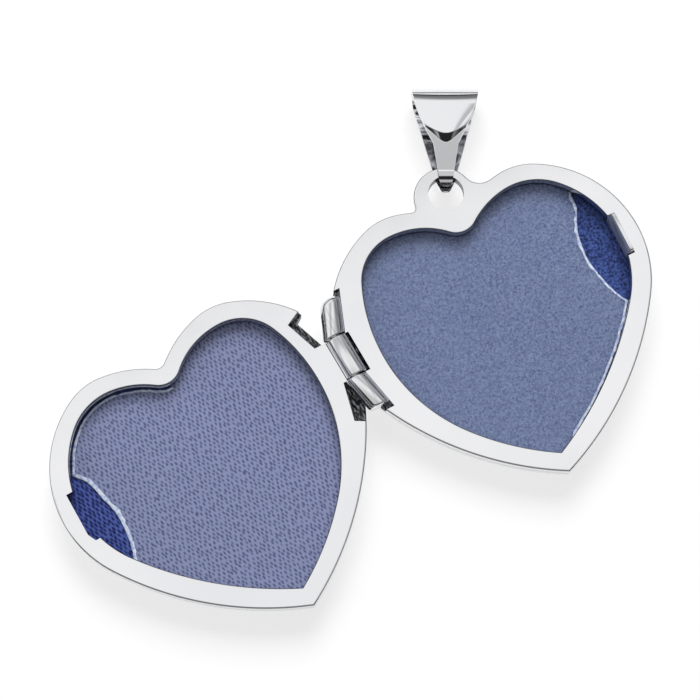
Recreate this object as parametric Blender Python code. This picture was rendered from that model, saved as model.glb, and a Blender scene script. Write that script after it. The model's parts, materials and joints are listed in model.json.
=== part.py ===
"""A heart locket, open flat on its domed backs, with its bail laid over to one side.

Metres, +Z up. The hinge axis runs along Y, the back half (ear, bail, catch) is at +X
and the front half at -X. Each half has its own heart frame: the origin is on the
heart's axis and +Y runs from the tip to the cleft.
"""

import math
from collections import namedtuple

import bmesh
import bpy
from mathutils import Matrix, Vector

# --- Heart outline, one side; sweeps in degrees --------------------------------------
CLEFT_Y = 0.00389
CLEFT_R = 0.00063
CLEFT_TURN = 36.9
FLANK_R = 0.0076
FLANK_SWEEP = 27.3
LOBE_R = 0.00396
LOBE_SWEEP = 32.5
SHOULDER_R = 0.00755
SHOULDER_SWEEP = 97.0
TIP_Y = -0.01419

# --- Window, one chain of arcs for each side; the rim is wider at the hinge ------------
WINDOW_CLEFT_Y = 0.00272
WINDOW_CLEFT_R = 0.00140
WINDOW_CLEFT_TURN = 40.0
WINDOW_TIP_Y = -0.01288
CATCH_FLANK_R = 0.00567
CATCH_FLANK_SWEEP = 28.5
CATCH_LOBE_R = 0.00394
CATCH_LOBE_SWEEP = 51.4
CATCH_SHOULDER_R = 0.00672
CATCH_SHOULDER_SWEEP = 84.0
HINGE_FLANK_R = 0.00510
HINGE_FLANK_SWEEP = 45.3
HINGE_LOBE_R = 0.00318
HINGE_LOBE_SWEEP = 65.0
HINGE_SHOULDER_R = 0.01108
HINGE_SHOULDER_SWEEP = 64.0

# --- How the two halves stand ---------------------------------------------------------
HINGE_X = 0.010364          # hinge axis to the middle of each heart
HEART_LEAN = 5.07           # degrees that each tip leans to the hinge
HINGE_GAP = 0.00006         # between the two rims when the locket lies open
CLOSED_GAP = 0.00010        # between the two rims when it is shut
SEAT = 0.00004              # solder or seating gap between fixed pieces

# --- Frame (rim ring) -----------------------------------------------------------------
FRAME_T = 0.0010
RIM_BEVEL = 0.00010
WINDOW_BEVEL = 0.00004

# --- Shell (domed back) ---------------------------------------------------------------
SHELL_DEPTH = 0.00166
SHELL_SIDE = 0.00040        # upright part of the wall under the frame
SHELL_FLOOR = 0.00035
CAVITY_LAP = 0.00055        # how far the frame laps over the cavity, round the window
CROWN_SHARE = 0.30          # flat middle of the dome, as a share of the outline
DOME_STEPS = 6

# --- Picture insert and film ----------------------------------------------------------
INSERT_T = 0.00035
FILM_T = 0.00022
INSERT_PLAY = 0.00006       # sideways clearance inside the shell
FILM_CUT_R = 0.0068         # round bite that leaves a finger space beside the film
FILM_CUT_DEPTH_BACK = 0.00196
FILM_CUT_DEPTH_FRONT = 0.00172
FILM_CUT_Y_BACK = -0.00135
FILM_CUT_Y_FRONT = -0.0026

# --- Ear ------------------------------------------------------------------------------
EAR_R = 0.00196
EAR_X = -0.00030
EAR_Y = 0.00530
EAR_ROOT_CATCH_R = 0.00115  # fillet where the ear meets the lobe on the catch side
EAR_ROOT_HINGE_R = 0.00028
EAR_HOLE_R = 0.00115
EAR_HOLE_X = -0.00008
EAR_HOLE_Y = 0.00550

# --- Hinge: straight barrels set at angles, so that they follow the rim ---------------
KNUCKLE_R = 0.00070
KNUCKLE_TOP_Y = 0.00281
UPPER_LENGTH = 0.00240
MIDDLE_LENGTH = 0.00274
LOWER_LENGTH = 0.00242
UPPER_LEAN = 20.5
MIDDLE_LEAN = -2.4
LOWER_LEAN = -12.0
UPPER_OFFSET = 0.00041      # each barrel's middle, from the hinge axis
MIDDLE_OFFSET = 0.00008
LOWER_OFFSET = 0.00022
KNUCKLE_SLIT = 0.00008
KNUCKLE_END_ROUND = 0.00042
KNUCKLE_END_CHAMFER = 0.00010
NOTCH_CLEARANCE = 0.00022   # round the opposite half's barrels, in plan
NOTCH_DEPTH_CLEARANCE = 0.00007
NOTCH_FLARE = 0.00060       # how far the scoop for the upper barrel widens to the top
NOTCH_RUN_OUT = 0.00065     # how far their outer ends slant along the rim
PIN_R = 0.00030
PIN_CLEARANCE = 0.00004
PIN_IN_OUTER = 0.00085      # how far the pin reaches into each outer barrel
PIN_TAPER = 0.00006         # off the radius at each end, over the same length

# --- Catch: a tab on the back rim, along a chord of the window's edge ------------------
CATCH_Y = -0.00133
TAB_LENGTH = 0.0028
TAB_FOOT = 0.00043          # width over the rim
TAB_SLOPE = 0.00022         # how far its inner face leans out on the way up
TAB_RISE = 0.00050          # above the rim
TAB_BEVEL = 0.00005
TAB_CORNER = 0.00022
CATCH_CLEARANCE = 0.00005
CATCH_EXTRA = 0.00055       # how much longer the front's notch is, towards the tip

# --- Bail, measured from the axis that it swings on; slopes in degrees ----------------
BAIL_SWAY = 22.7            # off the heart's axis, in its plane
BAIL_T = 0.00025
BAIL_REACH = 0.00592
BAIL_TOP_WIDTH = 0.0044
BAIL_CREASE_WIDTH = 0.00172
BAIL_FRONT_RING_WIDTH = 0.00083
BAIL_REAR_RING_WIDTH = 0.00135
BAIL_WRAP_CLEARANCE = 0.00005
BAIL_FRONT_SLOPE = 8.0
BAIL_REAR_SLOPE = 4.0
BAIL_CREASE = 0.00240       # where the front leaf's shield begins, at its middle
BAIL_CREASE_BOW = 0.00095   # how much farther out the shield begins at the edges
BAIL_STEP_LENGTH = 0.00058  # of the step up to the shield, at its middle
BAIL_STEP_EDGE_LENGTH = 0.00015
BAIL_DOME = 0.00034         # height of the shield's dome
BAIL_DOME_SIDES = 0.85      # how much of that is lost at its edges
BAIL_DOME_FALL = 0.0037     # where the dome begins to fade into the round end
BAIL_DOME_END = 0.0051
BAIL_TIP_SQUARE = 0.4       # width left at the very tips, as a share
BAIL_TONGUE = 0.00080
BAIL_TONGUE_ANGLE = 225.0   # where the rear tongue leaves the ring, round the axis
BAIL_TIP_ANGLE = 170.0      # where the front tip ends
BAIL_FLOOR_GAP = 0.00003

# --- Facets ---------------------------------------------------------------------------
ARC_STEPS = (8, 4, 6, 12, 10)   # cleft, flank, lobe, shoulder, side
EAR_STEPS = 6
ROUND_SIDES = 24
BARREL_END_SHARES = (0.0, 0.13, 0.5, 1.0)   # places along a barrel's rounded end
BAIL_STEP_ANGLE = 15.0
BAIL_ACROSS = 8
BAIL_FRONT_STEPS = 18
BAIL_REAR_STEPS = 4
BAIL_TONGUE_STEPS = 3
TAB_CORNER_STEPS = 3

# --- Worked-out sizes -----------------------------------------------------------------
LEAN = math.radians(HEART_LEAN)
FRAME_BOTTOM = SHELL_DEPTH + SEAT
RIM_TOP = FRAME_BOTTOM + FRAME_T
AXIS_Z = RIM_TOP + CLOSED_GAP / 2
INSERT_TOP = FRAME_BOTTOM - SEAT - FILM_T - SEAT
LEDGE_Z = INSERT_TOP - INSERT_T - SEAT
SIDE_Z = SHELL_DEPTH - SHELL_SIDE
EAR_MID_Z = FRAME_BOTTOM + FRAME_T / 2
BACK, FRONT = 1, -1

METAL = ("rhodium_plated_silver", (0.88, 0.88, 0.89), 0.12, 1.0)
FILM = ("clear_film", (0.62, 0.66, 0.80), 0.30, 0.0)
CLOTH = ("blue_cloth", (0.03, 0.05, 0.22), 0.85, 0.0)

# An arc of an outline: hollow arcs curve the other way, as in the cleft.
Arc = namedtuple("Arc", "x y radius start end hollow")

# A barrel of the hinge: its place along the hinge, lean, offset and end roundings.
Knuckle = namedtuple("Knuckle", "name half top bottom lean offset top_round bottom_round")


# --- Outlines -------------------------------------------------------------------------

def arc_point(arc, share, inset=0.0, end=None):
    """A point of an arc, moved inwards by inset. End replaces the arc's own end angle."""
    radius = arc.radius + inset if arc.hollow else arc.radius - inset
    angle = arc.start + share * ((arc.end if end is None else end) - arc.start)
    return arc.x + radius * math.cos(angle), arc.y + radius * math.sin(angle)


def following_arc(arc, radius, sweep):
    """The bulging arc that carries on smoothly after another one, turning right."""
    x, y = arc_point(arc, 1.0)
    start = arc.end + (math.pi if arc.hollow else 0.0)
    return Arc(x - radius * math.cos(start), y - radius * math.sin(start),
               radius, start, start - math.radians(sweep), False)


def side_arc(arc, tip_y):
    """The last arc, from the shoulder's end to the tip on the heart's axis."""
    x, y = arc_point(arc, 1.0)
    inward = (-math.cos(arc.end), -math.sin(arc.end))
    run = (-x, tip_y - y)
    radius = (run[0] ** 2 + run[1] ** 2) / (2 * (run[0] * inward[0] + run[1] * inward[1]))
    centre = (x + radius * inward[0], y + radius * inward[1])
    return Arc(*centre, radius, arc.end, -math.acos(-centre[0] / radius), False)


def arc_chain(cleft_y, cleft_r, cleft_turn, bulges, tip_y):
    """One side of a heart as tangent arcs. Bulges are (radius, sweep) pairs."""
    down = math.radians(-90)
    arcs = [Arc(0.0, cleft_y + cleft_r, cleft_r, down, down + math.radians(cleft_turn), True)]
    for radius, sweep in bulges:
        arcs.append(following_arc(arcs[-1], radius, sweep))
    return arcs + [side_arc(arcs[-1], tip_y)]


def outline_arcs(side):
    """One side of the outline, which is the same on both."""
    bulges = ((FLANK_R, FLANK_SWEEP), (LOBE_R, LOBE_SWEEP), (SHOULDER_R, SHOULDER_SWEEP))
    return arc_chain(CLEFT_Y, CLEFT_R, CLEFT_TURN, bulges, TIP_Y)


def window_arcs(side):
    """One side of the window: +1 is the catch side and -1 the hinge side."""
    bulges = ((CATCH_FLANK_R, CATCH_FLANK_SWEEP), (CATCH_LOBE_R, CATCH_LOBE_SWEEP),
              (CATCH_SHOULDER_R, CATCH_SHOULDER_SWEEP))
    if side < 0:
        bulges = ((HINGE_FLANK_R, HINGE_FLANK_SWEEP), (HINGE_LOBE_R, HINGE_LOBE_SWEEP),
                  (HINGE_SHOULDER_R, HINGE_SHOULDER_SWEEP))
    return arc_chain(WINDOW_CLEFT_Y, WINDOW_CLEFT_R, WINDOW_CLEFT_TURN, bulges, WINDOW_TIP_Y)


def ear_arcs(side):
    """One side of the back's outline: the ear and its root fillet replace the cleft."""
    arcs = outline_arcs(side)
    flank = arcs[1]
    root_r = EAR_ROOT_CATCH_R if side > 0 else EAR_ROOT_HINGE_R
    ear = (side * EAR_X, EAR_Y)
    across = math.hypot(flank.x - ear[0], flank.y - ear[1])
    to_ear, to_flank = EAR_R + root_r, FLANK_R + root_r
    along = (across ** 2 + to_ear ** 2 - to_flank ** 2) / (2 * across)
    height = math.sqrt(to_ear ** 2 - along ** 2)
    ux, uy = (flank.x - ear[0]) / across, (flank.y - ear[1]) / across
    root = (ear[0] + along * ux - height * uy, ear[1] + along * uy + height * ux)
    ear_end = math.atan2(root[1] - ear[1], root[0] - ear[0])
    flank_start = math.atan2(root[1] - flank.y, root[0] - flank.x)
    return [
        Arc(*ear, EAR_R, math.radians(90), ear_end, False),
        Arc(*root, root_r, ear_end + math.pi, flank_start + math.pi, True),
        flank._replace(start=flank_start),
    ] + arcs[2:]


def stations(arcs, steps, inset):
    """Points down one side, moved inwards by inset."""
    points = []
    for arc, count in zip(arcs, steps):
        points += [arc_point(arc, step / count, inset) for step in range(count)]
    last = arcs[-1]
    end = -math.acos(-last.x / (last.radius - inset))
    count = steps[-1]
    points[-count:] = [arc_point(last, step / count, inset, end) for step in range(count)]
    return points + [(0.0, arc_point(last, 1.0, inset, end)[1])]


def heart_ring(half, z, arcs_of, inset=0.0, scale=1.0):
    """One closed ring of points round a half, in the object's frame.

    Arcs_of gives the arcs of a side, inset moves them inwards, and scale shrinks the
    ring to the heart's middle.
    """
    steps = ARC_STEPS
    if arcs_of is ear_arcs:
        steps = (EAR_STEPS, ARC_STEPS[0] - EAR_STEPS) + ARC_STEPS[1:]
    sides = [[(side * x, y) for x, y in stations(arcs_of(side), steps, inset)]
             for side in (1, -1)]
    outline = sides[0] + sides[1][-2:0:-1]
    middle = (CLEFT_Y + TIP_Y) / 2
    return [to_object(half, x * scale, middle + (y - middle) * scale, z) for x, y in outline]


def to_object(half, x, y, z):
    """A point of a half's heart frame in the object's frame, trimmed at the hinge line."""
    across = x * math.cos(LEAN) + y * math.sin(LEAN) + HINGE_X
    return Vector((half * max(across, HINGE_GAP / 2),
                   y * math.cos(LEAN) - x * math.sin(LEAN), z))


def window_edge_x(y):
    """Where the window's edge on the catch side crosses this height of the heart frame."""
    points = stations(window_arcs(1), ARC_STEPS, 0.0)
    crossings = [x0 + (x1 - x0) * (y0 - y) / (y0 - y1)
                 for (x0, y0), (x1, y1) in zip(points, points[1:]) if y0 >= y > y1]
    return max(crossings)


# --- Meshes ---------------------------------------------------------------------------

def material(finish):
    """The material of a finish, made once."""
    name, colour, roughness, metallic = finish
    found = bpy.data.materials.get(name)
    if found:
        return found
    made = bpy.data.materials.new(name)
    made.use_nodes = True
    shader = made.node_tree.nodes["Principled BSDF"]
    shader.inputs["Base Color"].default_value = (*colour, 1.0)
    shader.inputs["Roughness"].default_value = roughness
    shader.inputs["Metallic"].default_value = metallic
    return made


def add_object(name, mesh_data, finish, smooth_angle=35.0):
    """An object from a bmesh, shaded smooth up to an angle."""
    bmesh.ops.recalc_face_normals(mesh_data, faces=mesh_data.faces)
    mesh = bpy.data.meshes.new(name)
    mesh_data.to_mesh(mesh)
    mesh_data.free()
    mesh.shade_smooth()
    mesh.set_sharp_from_angle(angle=math.radians(smooth_angle))
    made = bpy.data.objects.new(name, mesh)
    bpy.context.scene.collection.objects.link(made)
    if finish:
        mesh.materials.append(material(finish))
    else:
        made.hide_render = True
        made.display_type = "WIRE"
    return made


def loft(rings, closed=False):
    """A solid from rings with as many points each, capped unless it closes on itself."""
    made = bmesh.new()
    rows = [[made.verts.new(point) for point in ring] for ring in rings]
    pairs = list(zip(rows, rows[1:])) + ([(rows[-1], rows[0])] if closed else [])
    for low, high in pairs:
        for i in range(len(low)):
            j = (i + 1) % len(low)
            made.faces.new((low[i], low[j], high[j], high[i]))
    if not closed:
        made.faces.new(rows[0])
        made.faces.new(rows[-1])
    return made


def cut(target, cutter):
    """Takes a cutter's shape out of an object."""
    modifier = target.modifiers.new("Cut " + cutter.name, "BOOLEAN")
    modifier.operation = "DIFFERENCE"
    modifier.solver = "EXACT"
    modifier.object = cutter


def prism(name, half, outline, low, high, finish=None):
    """An upright prism over an outline of heart-frame points."""
    return add_object(name, loft([[to_object(half, x, y, z) for x, y in outline]
                                  for z in (low, high)]), finish)


def circle(x, y, radius, sides=ROUND_SIDES):
    """The points of a circle."""
    return [(x + radius * math.cos(2 * math.pi * i / sides),
             y + radius * math.sin(2 * math.pi * i / sides)) for i in range(sides)]


# --- Each half ------------------------------------------------------------------------

def make_frame(name, half):
    """The flat rim ring with its window, and the ear on the back half."""
    outer = ear_arcs if half == BACK else outline_arcs
    rings = [
        heart_ring(half, FRAME_BOTTOM, outer),
        heart_ring(half, RIM_TOP - RIM_BEVEL, outer),
        heart_ring(half, RIM_TOP, outer, RIM_BEVEL),
        heart_ring(half, RIM_TOP, window_arcs, -WINDOW_BEVEL),
        heart_ring(half, RIM_TOP - WINDOW_BEVEL, window_arcs),
        heart_ring(half, FRAME_BOTTOM, window_arcs),
    ]
    frame = add_object(name, loft(rings, closed=True), METAL)
    if half == BACK:
        cut(frame, prism("ear_hole_cutter", half,
                         circle(EAR_HOLE_X, EAR_HOLE_Y, EAR_HOLE_R, 2 * ROUND_SIDES),
                         FRAME_BOTTOM - FRAME_T, RIM_TOP + FRAME_T))
        cut(frame, catch_cutter("tab_slot_cutter", half, SEAT, 0.0))
    else:
        cut(frame, catch_cutter("catch_notch_cutter", half, CATCH_CLEARANCE, CATCH_EXTRA))
    return frame


def make_shell(name, half):
    """The domed back: upright side, pillow dome and flat crown, with a ledge inside."""
    rings = [heart_ring(half, LEDGE_Z, window_arcs, -CAVITY_LAP),
             heart_ring(half, SHELL_DEPTH, window_arcs, -CAVITY_LAP),
             heart_ring(half, SHELL_DEPTH, outline_arcs)]
    turns = [math.radians(90.0 * step / DOME_STEPS) for step in range(DOME_STEPS + 1)]
    for turn in turns:
        scale = CROWN_SHARE + (1 - CROWN_SHARE) * math.cos(turn)
        rings.append(heart_ring(half, SIDE_Z * (1 - math.sin(turn)), outline_arcs, 0.0, scale))
    inner_rise = SIDE_Z - SHELL_FLOOR
    ledge_turn = math.asin(1 - (LEDGE_Z - SHELL_FLOOR) / inner_rise)
    inner = []
    for turn in [ledge_turn] + [turn for turn in turns if turn > ledge_turn + 0.1]:
        scale = CROWN_SHARE + (1 - CROWN_SHARE) * math.cos(turn)
        z = SHELL_FLOOR + inner_rise * (1 - math.sin(turn))
        inner.append(heart_ring(half, z, window_arcs, 0.0, scale))
    return add_object(name, loft(inner[::-1] + rings), METAL)


def make_insert(name, half):
    """The cloth-faced picture insert, which rests on the shell's ledge."""
    rings = [heart_ring(half, z, window_arcs, INSERT_PLAY - CAVITY_LAP)
             for z in (INSERT_TOP - INSERT_T, INSERT_TOP)]
    return add_object(name, loft(rings), CLOTH)


def make_film(name, half):
    """The clear film over the insert, with a round bite at the catch side."""
    low = INSERT_TOP + SEAT
    rings = [heart_ring(half, z, window_arcs, INSERT_PLAY - CAVITY_LAP)
             for z in (low, low + FILM_T)]
    film = add_object(name, loft(rings), FILM)
    depth, y = FILM_CUT_DEPTH_FRONT, FILM_CUT_Y_FRONT
    if half == BACK:
        depth, y = FILM_CUT_DEPTH_BACK, FILM_CUT_Y_BACK
    x = window_edge_x(y) - depth + FILM_CUT_R
    cut(film, prism(name + "_bite_cutter", half, circle(x, y, FILM_CUT_R, 3 * ROUND_SIDES),
                    low - FILM_T, low + 2 * FILM_T))
    return film


# --- Hinge ----------------------------------------------------------------------------

def knuckles():
    """The three barrels, from the ear's end down. The outer two are on the back half."""
    upper_bottom = KNUCKLE_TOP_Y - UPPER_LENGTH
    middle_top = upper_bottom - KNUCKLE_SLIT
    middle_bottom = middle_top - MIDDLE_LENGTH
    lower_top = middle_bottom - KNUCKLE_SLIT
    return (
        Knuckle("hinge_knuckle_upper", BACK, KNUCKLE_TOP_Y, upper_bottom, UPPER_LEAN,
                UPPER_OFFSET, KNUCKLE_END_ROUND, KNUCKLE_END_CHAMFER),
        Knuckle("hinge_knuckle_middle", FRONT, middle_top, middle_bottom, MIDDLE_LEAN,
                MIDDLE_OFFSET, KNUCKLE_END_CHAMFER, KNUCKLE_END_CHAMFER),
        Knuckle("hinge_knuckle_lower", BACK, lower_top, lower_top - LOWER_LENGTH, LOWER_LEAN,
                LOWER_OFFSET, KNUCKLE_END_CHAMFER, KNUCKLE_END_ROUND / 2),
    )


def barrel_x(knuckle, y):
    """Where the middle line of a barrel is, across from the hinge axis."""
    middle = (knuckle.top + knuckle.bottom) / 2
    return knuckle.offset + (y - middle) * math.tan(math.radians(knuckle.lean))


def axis_circle(y, radius, x=0.0, stretch=1.0):
    """A circle across the hinge. Stretch keeps a leaning barrel round."""
    turns = [2 * math.pi * i / ROUND_SIDES for i in range(ROUND_SIDES)]
    return [Vector((x + stretch * radius * math.cos(turn), y,
                    AXIS_Z + radius * math.sin(turn))) for turn in turns]


def barrel(knuckle, grow=0.0, square=False):
    """A leaning barrel with rounded ends. Grow and square make it a cutter."""
    top_round, bottom_round = knuckle.top_round, knuckle.bottom_round
    if square:
        top_round = bottom_round = KNUCKLE_END_CHAMFER
    top, bottom = knuckle.top + grow, knuckle.bottom - grow
    places = [(top - top_round * share, round_end(share, top_round))
              for share in BARREL_END_SHARES]
    places += [(bottom + bottom_round * share, round_end(share, bottom_round))
               for share in reversed(BARREL_END_SHARES)]
    stretch = 1 / math.cos(math.radians(knuckle.lean))
    radius = KNUCKLE_R + grow
    return loft([axis_circle(y, radius * share, barrel_x(knuckle, y), stretch)
                 for y, share in places])


def round_end(share, length):
    """A barrel's radius at a share of its end's rounding, as a share of the full one."""
    flat = 1 - length / KNUCKLE_R
    return flat + (1 - flat) * math.sqrt(1 - (1 - share) ** 2)


def make_hinge(frames, front_shell):
    """Three barrels on one pin, each seated in its own half and notched into the other."""
    chain = knuckles()
    pin_top = chain[0].bottom + PIN_IN_OUTER
    pin_bottom = chain[2].top - PIN_IN_OUTER
    bore = add_object("pin_bore_cutter", loft(
        [axis_circle(y, PIN_R + PIN_CLEARANCE)
         for y in (pin_top + PIN_CLEARANCE, pin_bottom - PIN_CLEARANCE)]), None)
    made = []
    for knuckle in chain:
        body = add_object(knuckle.name, barrel(knuckle), METAL)
        cut(body, bore)
        made.append(body)
        seat = add_object(knuckle.name + "_seat_cutter", barrel(knuckle, SEAT, True), None)
        cut(frames[knuckle.half], seat)
        through = knuckle is chain[0]
        notch = knuckle_notch(knuckle, through)
        cut(frames[-knuckle.half], notch)
        if through:
            cut(front_shell, notch)
    pin = add_object("hinge_pin", loft(
        [axis_circle(y, radius) for y, radius in
         ((pin_top, PIN_R - PIN_TAPER), (pin_top - PIN_TAPER, PIN_R),
          (pin_bottom + PIN_TAPER, PIN_R), (pin_bottom, PIN_R - PIN_TAPER))]), METAL)
    return made + [pin]


def knuckle_notch(knuckle, through):
    """The notch in the other half that takes a barrel, open above and to the hinge.

    The middle barrel is met where it lies open, the outer two where they lie shut. A
    through notch is scooped wider round the barrel and goes down through the shell.
    """
    side = -knuckle.half
    top, bottom = knuckle.top + KNUCKLE_SLIT / 2, knuckle.bottom - KNUCKLE_SLIT / 2
    reach = KNUCKLE_R + NOTCH_CLEARANCE
    swing = max(abs(barrel_x(knuckle, y)) for y in (top, bottom))
    floor = AXIS_Z - KNUCKLE_R - NOTCH_DEPTH_CLEARANCE
    upper_run = lower_run = 0.0
    levels = [(floor, 0.0), (AXIS_Z + KNUCKLE_R, 0.0)]
    if side == BACK:
        levels[0] = (floor - swing, 0.0)
    elif through:
        upper_run = NOTCH_RUN_OUT
        levels = [(-FRAME_T, 0.0), (floor, 0.0), (RIM_TOP, NOTCH_FLARE),
                  (AXIS_Z + KNUCKLE_R, NOTCH_FLARE)]
    else:
        lower_run = NOTCH_RUN_OUT
    rings = []
    for z, widen in levels:
        corner_y = top - upper_run / 2
        outline = [(side * (barrel_x(knuckle, corner_y) + reach + widen), corner_y),
                   (side * (barrel_x(knuckle, bottom) + reach + widen), bottom),
                   (-side * reach, bottom - 2 * lower_run),
                   (-side * reach, top + 2 * upper_run)]
        rings.append([Vector((x, y, z)) for x, y in outline])
    return add_object(knuckle.name + "_notch_cutter", loft(rings), None)


# --- Catch ----------------------------------------------------------------------------

def catch_frame():
    """(middle, along, outward) of the window edge's chord that the catch sits on."""
    ends = [Vector((window_edge_x(y), y)) for y in
            (CATCH_Y + TAB_LENGTH / 2, CATCH_Y - TAB_LENGTH / 2)]
    along = (ends[0] - ends[1]).normalized()
    return (ends[0] + ends[1]) / 2, along, Vector((along.y, -along.x))


def catch_point(half, along_by, out_by, z):
    """A point of the catch in the object's frame."""
    middle, along, outward = catch_frame()
    place = middle + along * along_by + outward * out_by
    return to_object(half, place.x, place.y, z)


def catch_cutter(name, half, clearance, extra):
    """The slot or notch for the tab in the window's edge, longer by extra at one end."""
    top, bottom = TAB_LENGTH / 2 + clearance, -TAB_LENGTH / 2 - clearance - extra
    wall = TAB_FOOT + clearance
    outline = ((top, -TAB_FOOT), (top, wall), (bottom, wall), (bottom, -TAB_FOOT))
    return add_object(name, loft([[catch_point(half, along, out, z) for along, out in outline]
                                  for z in (FRAME_BOTTOM - FRAME_T, RIM_TOP + FRAME_T)]), None)


def make_catch_tab():
    """A tab in the back rim's slot, its inner face leaning out and its top rounded."""
    low = FRAME_BOTTOM + SEAT
    rings = []
    for side in (-1, 1):
        steps = range(TAB_CORNER_STEPS + 1)
        for step in steps if side < 0 else reversed(steps):
            turn = math.radians(90 * step / TAB_CORNER_STEPS)
            along = side * (TAB_LENGTH / 2 - TAB_CORNER * (1 - math.cos(turn)))
            high = RIM_TOP + TAB_RISE - TAB_CORNER * (1 - math.sin(turn))
            section = ((0.0, low), (0.0, RIM_TOP), (TAB_SLOPE, high - TAB_BEVEL),
                       (TAB_SLOPE + TAB_BEVEL, high), (TAB_FOOT - TAB_BEVEL, high),
                       (TAB_FOOT, high - TAB_BEVEL), (TAB_FOOT, low))
            rings.append([catch_point(BACK, along, out, z) for out, z in section])
    return add_object("catch_tab", loft(rings), METAL)


# --- Bail -----------------------------------------------------------------------------

def bail_place():
    """(swing axis point, outward direction, sideways direction, band width) of the bail."""
    sway = math.radians(BAIL_SWAY)
    ux, uy = math.sin(sway), math.cos(sway)
    dx, dy = EAR_HOLE_X - EAR_X, EAR_HOLE_Y - EAR_Y
    along = dx * ux + dy * uy
    outer = -along + math.sqrt(along ** 2 - dx ** 2 - dy ** 2 + EAR_R ** 2)
    reach = (EAR_HOLE_R + outer) / 2
    point = to_object(BACK, EAR_HOLE_X + ux * reach, EAR_HOLE_Y + uy * reach, EAR_MID_Z)
    tip = to_object(BACK, EAR_HOLE_X + ux * 2 * reach, EAR_HOLE_Y + uy * 2 * reach, EAR_MID_Z)
    out = (tip - point).normalized()
    return point, out, Vector((out.y, -out.x, 0.0)), outer - EAR_HOLE_R


def bend(path, radius, turn):
    """Adds an arc that turns right to a path of (along, up, heading)."""
    x, z, heading = path[-1]
    steps = math.ceil(turn / math.radians(BAIL_STEP_ANGLE))
    for step in range(1, steps + 1):
        angle = heading - turn * step / steps
        path.append((x + radius * (math.sin(heading) - math.sin(angle)),
                     z + radius * (math.cos(angle) - math.cos(heading)), angle))


def straight(path, length, steps):
    """Adds a straight stretch to a path."""
    x, z, heading = path[-1]
    for step in range(1, steps + 1):
        run = length * step / steps
        path.append((x + run * math.cos(heading), z + run * math.sin(heading), heading))


def bail_loop(wrap):
    """(middle line, end circle's distance, its radius, its direction) of the bail's strip.

    The strip runs from the front tip round the ear's band, out along the front leaf,
    round the end, back along the rear leaf and round the band again to the tongue.
    """
    front, rear = math.radians(BAIL_FRONT_SLOPE), math.radians(BAIL_REAR_SLOPE)
    middle, spread = (front - rear) / 2, (front + rear) / 2
    distance = ((BAIL_REACH - BAIL_T / 2 - wrap) / (math.cos(middle) + math.sin(spread)))
    end_r = wrap + distance * math.sin(spread)
    leaf = distance * math.cos(spread)
    tip, tongue = math.radians(BAIL_TIP_ANGLE), math.radians(BAIL_TONGUE_ANGLE)
    path = [(wrap * math.cos(tip), wrap * math.sin(tip), tip - math.pi / 2)]
    bend(path, wrap, path[0][2] - front)
    straight(path, leaf, BAIL_FRONT_STEPS)
    bend(path, end_r, math.pi + front + rear)
    straight(path, leaf, BAIL_REAR_STEPS)
    bend(path, wrap, path[-1][2] - (tongue - 5 * math.pi / 2))
    straight(path, BAIL_TONGUE, BAIL_TONGUE_STEPS)
    return path, distance, end_r, middle


def smooth_between(value, low, high):
    """0 below low, 1 above high, and an even curve between them."""
    share = min(max((value - low) / (high - low), 0.0), 1.0)
    return share * share * (3 - 2 * share)


def front_width(along):
    """The front leaf's width: a narrow taper up to the crease, then a full shield."""
    taper = BAIL_CREASE_WIDTH - BAIL_FRONT_RING_WIDTH
    shield = BAIL_TOP_WIDTH - BAIL_CREASE_WIDTH
    share = (along - BAIL_CREASE) / (BAIL_REACH - BAIL_CREASE)
    return (BAIL_FRONT_RING_WIDTH + taper * min(along / BAIL_CREASE, 1.0)
            + shield * math.sin(math.pi / 2 * min(max(share, 0.0), 1.0)))


def rear_width(along):
    """The rear leaf's width: one straight taper."""
    return BAIL_REAR_RING_WIDTH + ((BAIL_TOP_WIDTH - BAIL_REAR_RING_WIDTH)
                                   * min(along / BAIL_REACH, 1.0))


def dome_height(along, share):
    """The shield's dome. Its step is a crescent, farther out and shorter at the edges."""
    start = BAIL_CREASE + BAIL_CREASE_BOW * share ** 2
    length = BAIL_STEP_LENGTH + (BAIL_STEP_EDGE_LENGTH - BAIL_STEP_LENGTH) * share ** 2
    rise = smooth_between(along, start, start + length)
    fall = 1 - smooth_between(along, BAIL_DOME_FALL, BAIL_DOME_END)
    return BAIL_DOME * rise * fall * (1 - BAIL_DOME_SIDES * share ** 2)


def rounded_tip(run):
    """How much of its width the strip has at this length from a tip."""
    reach = BAIL_FRONT_RING_WIDTH / 2
    return math.sqrt(max(1 - (1 - min(run / reach, 1.0)) ** 2, BAIL_TIP_SQUARE ** 2))


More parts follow.
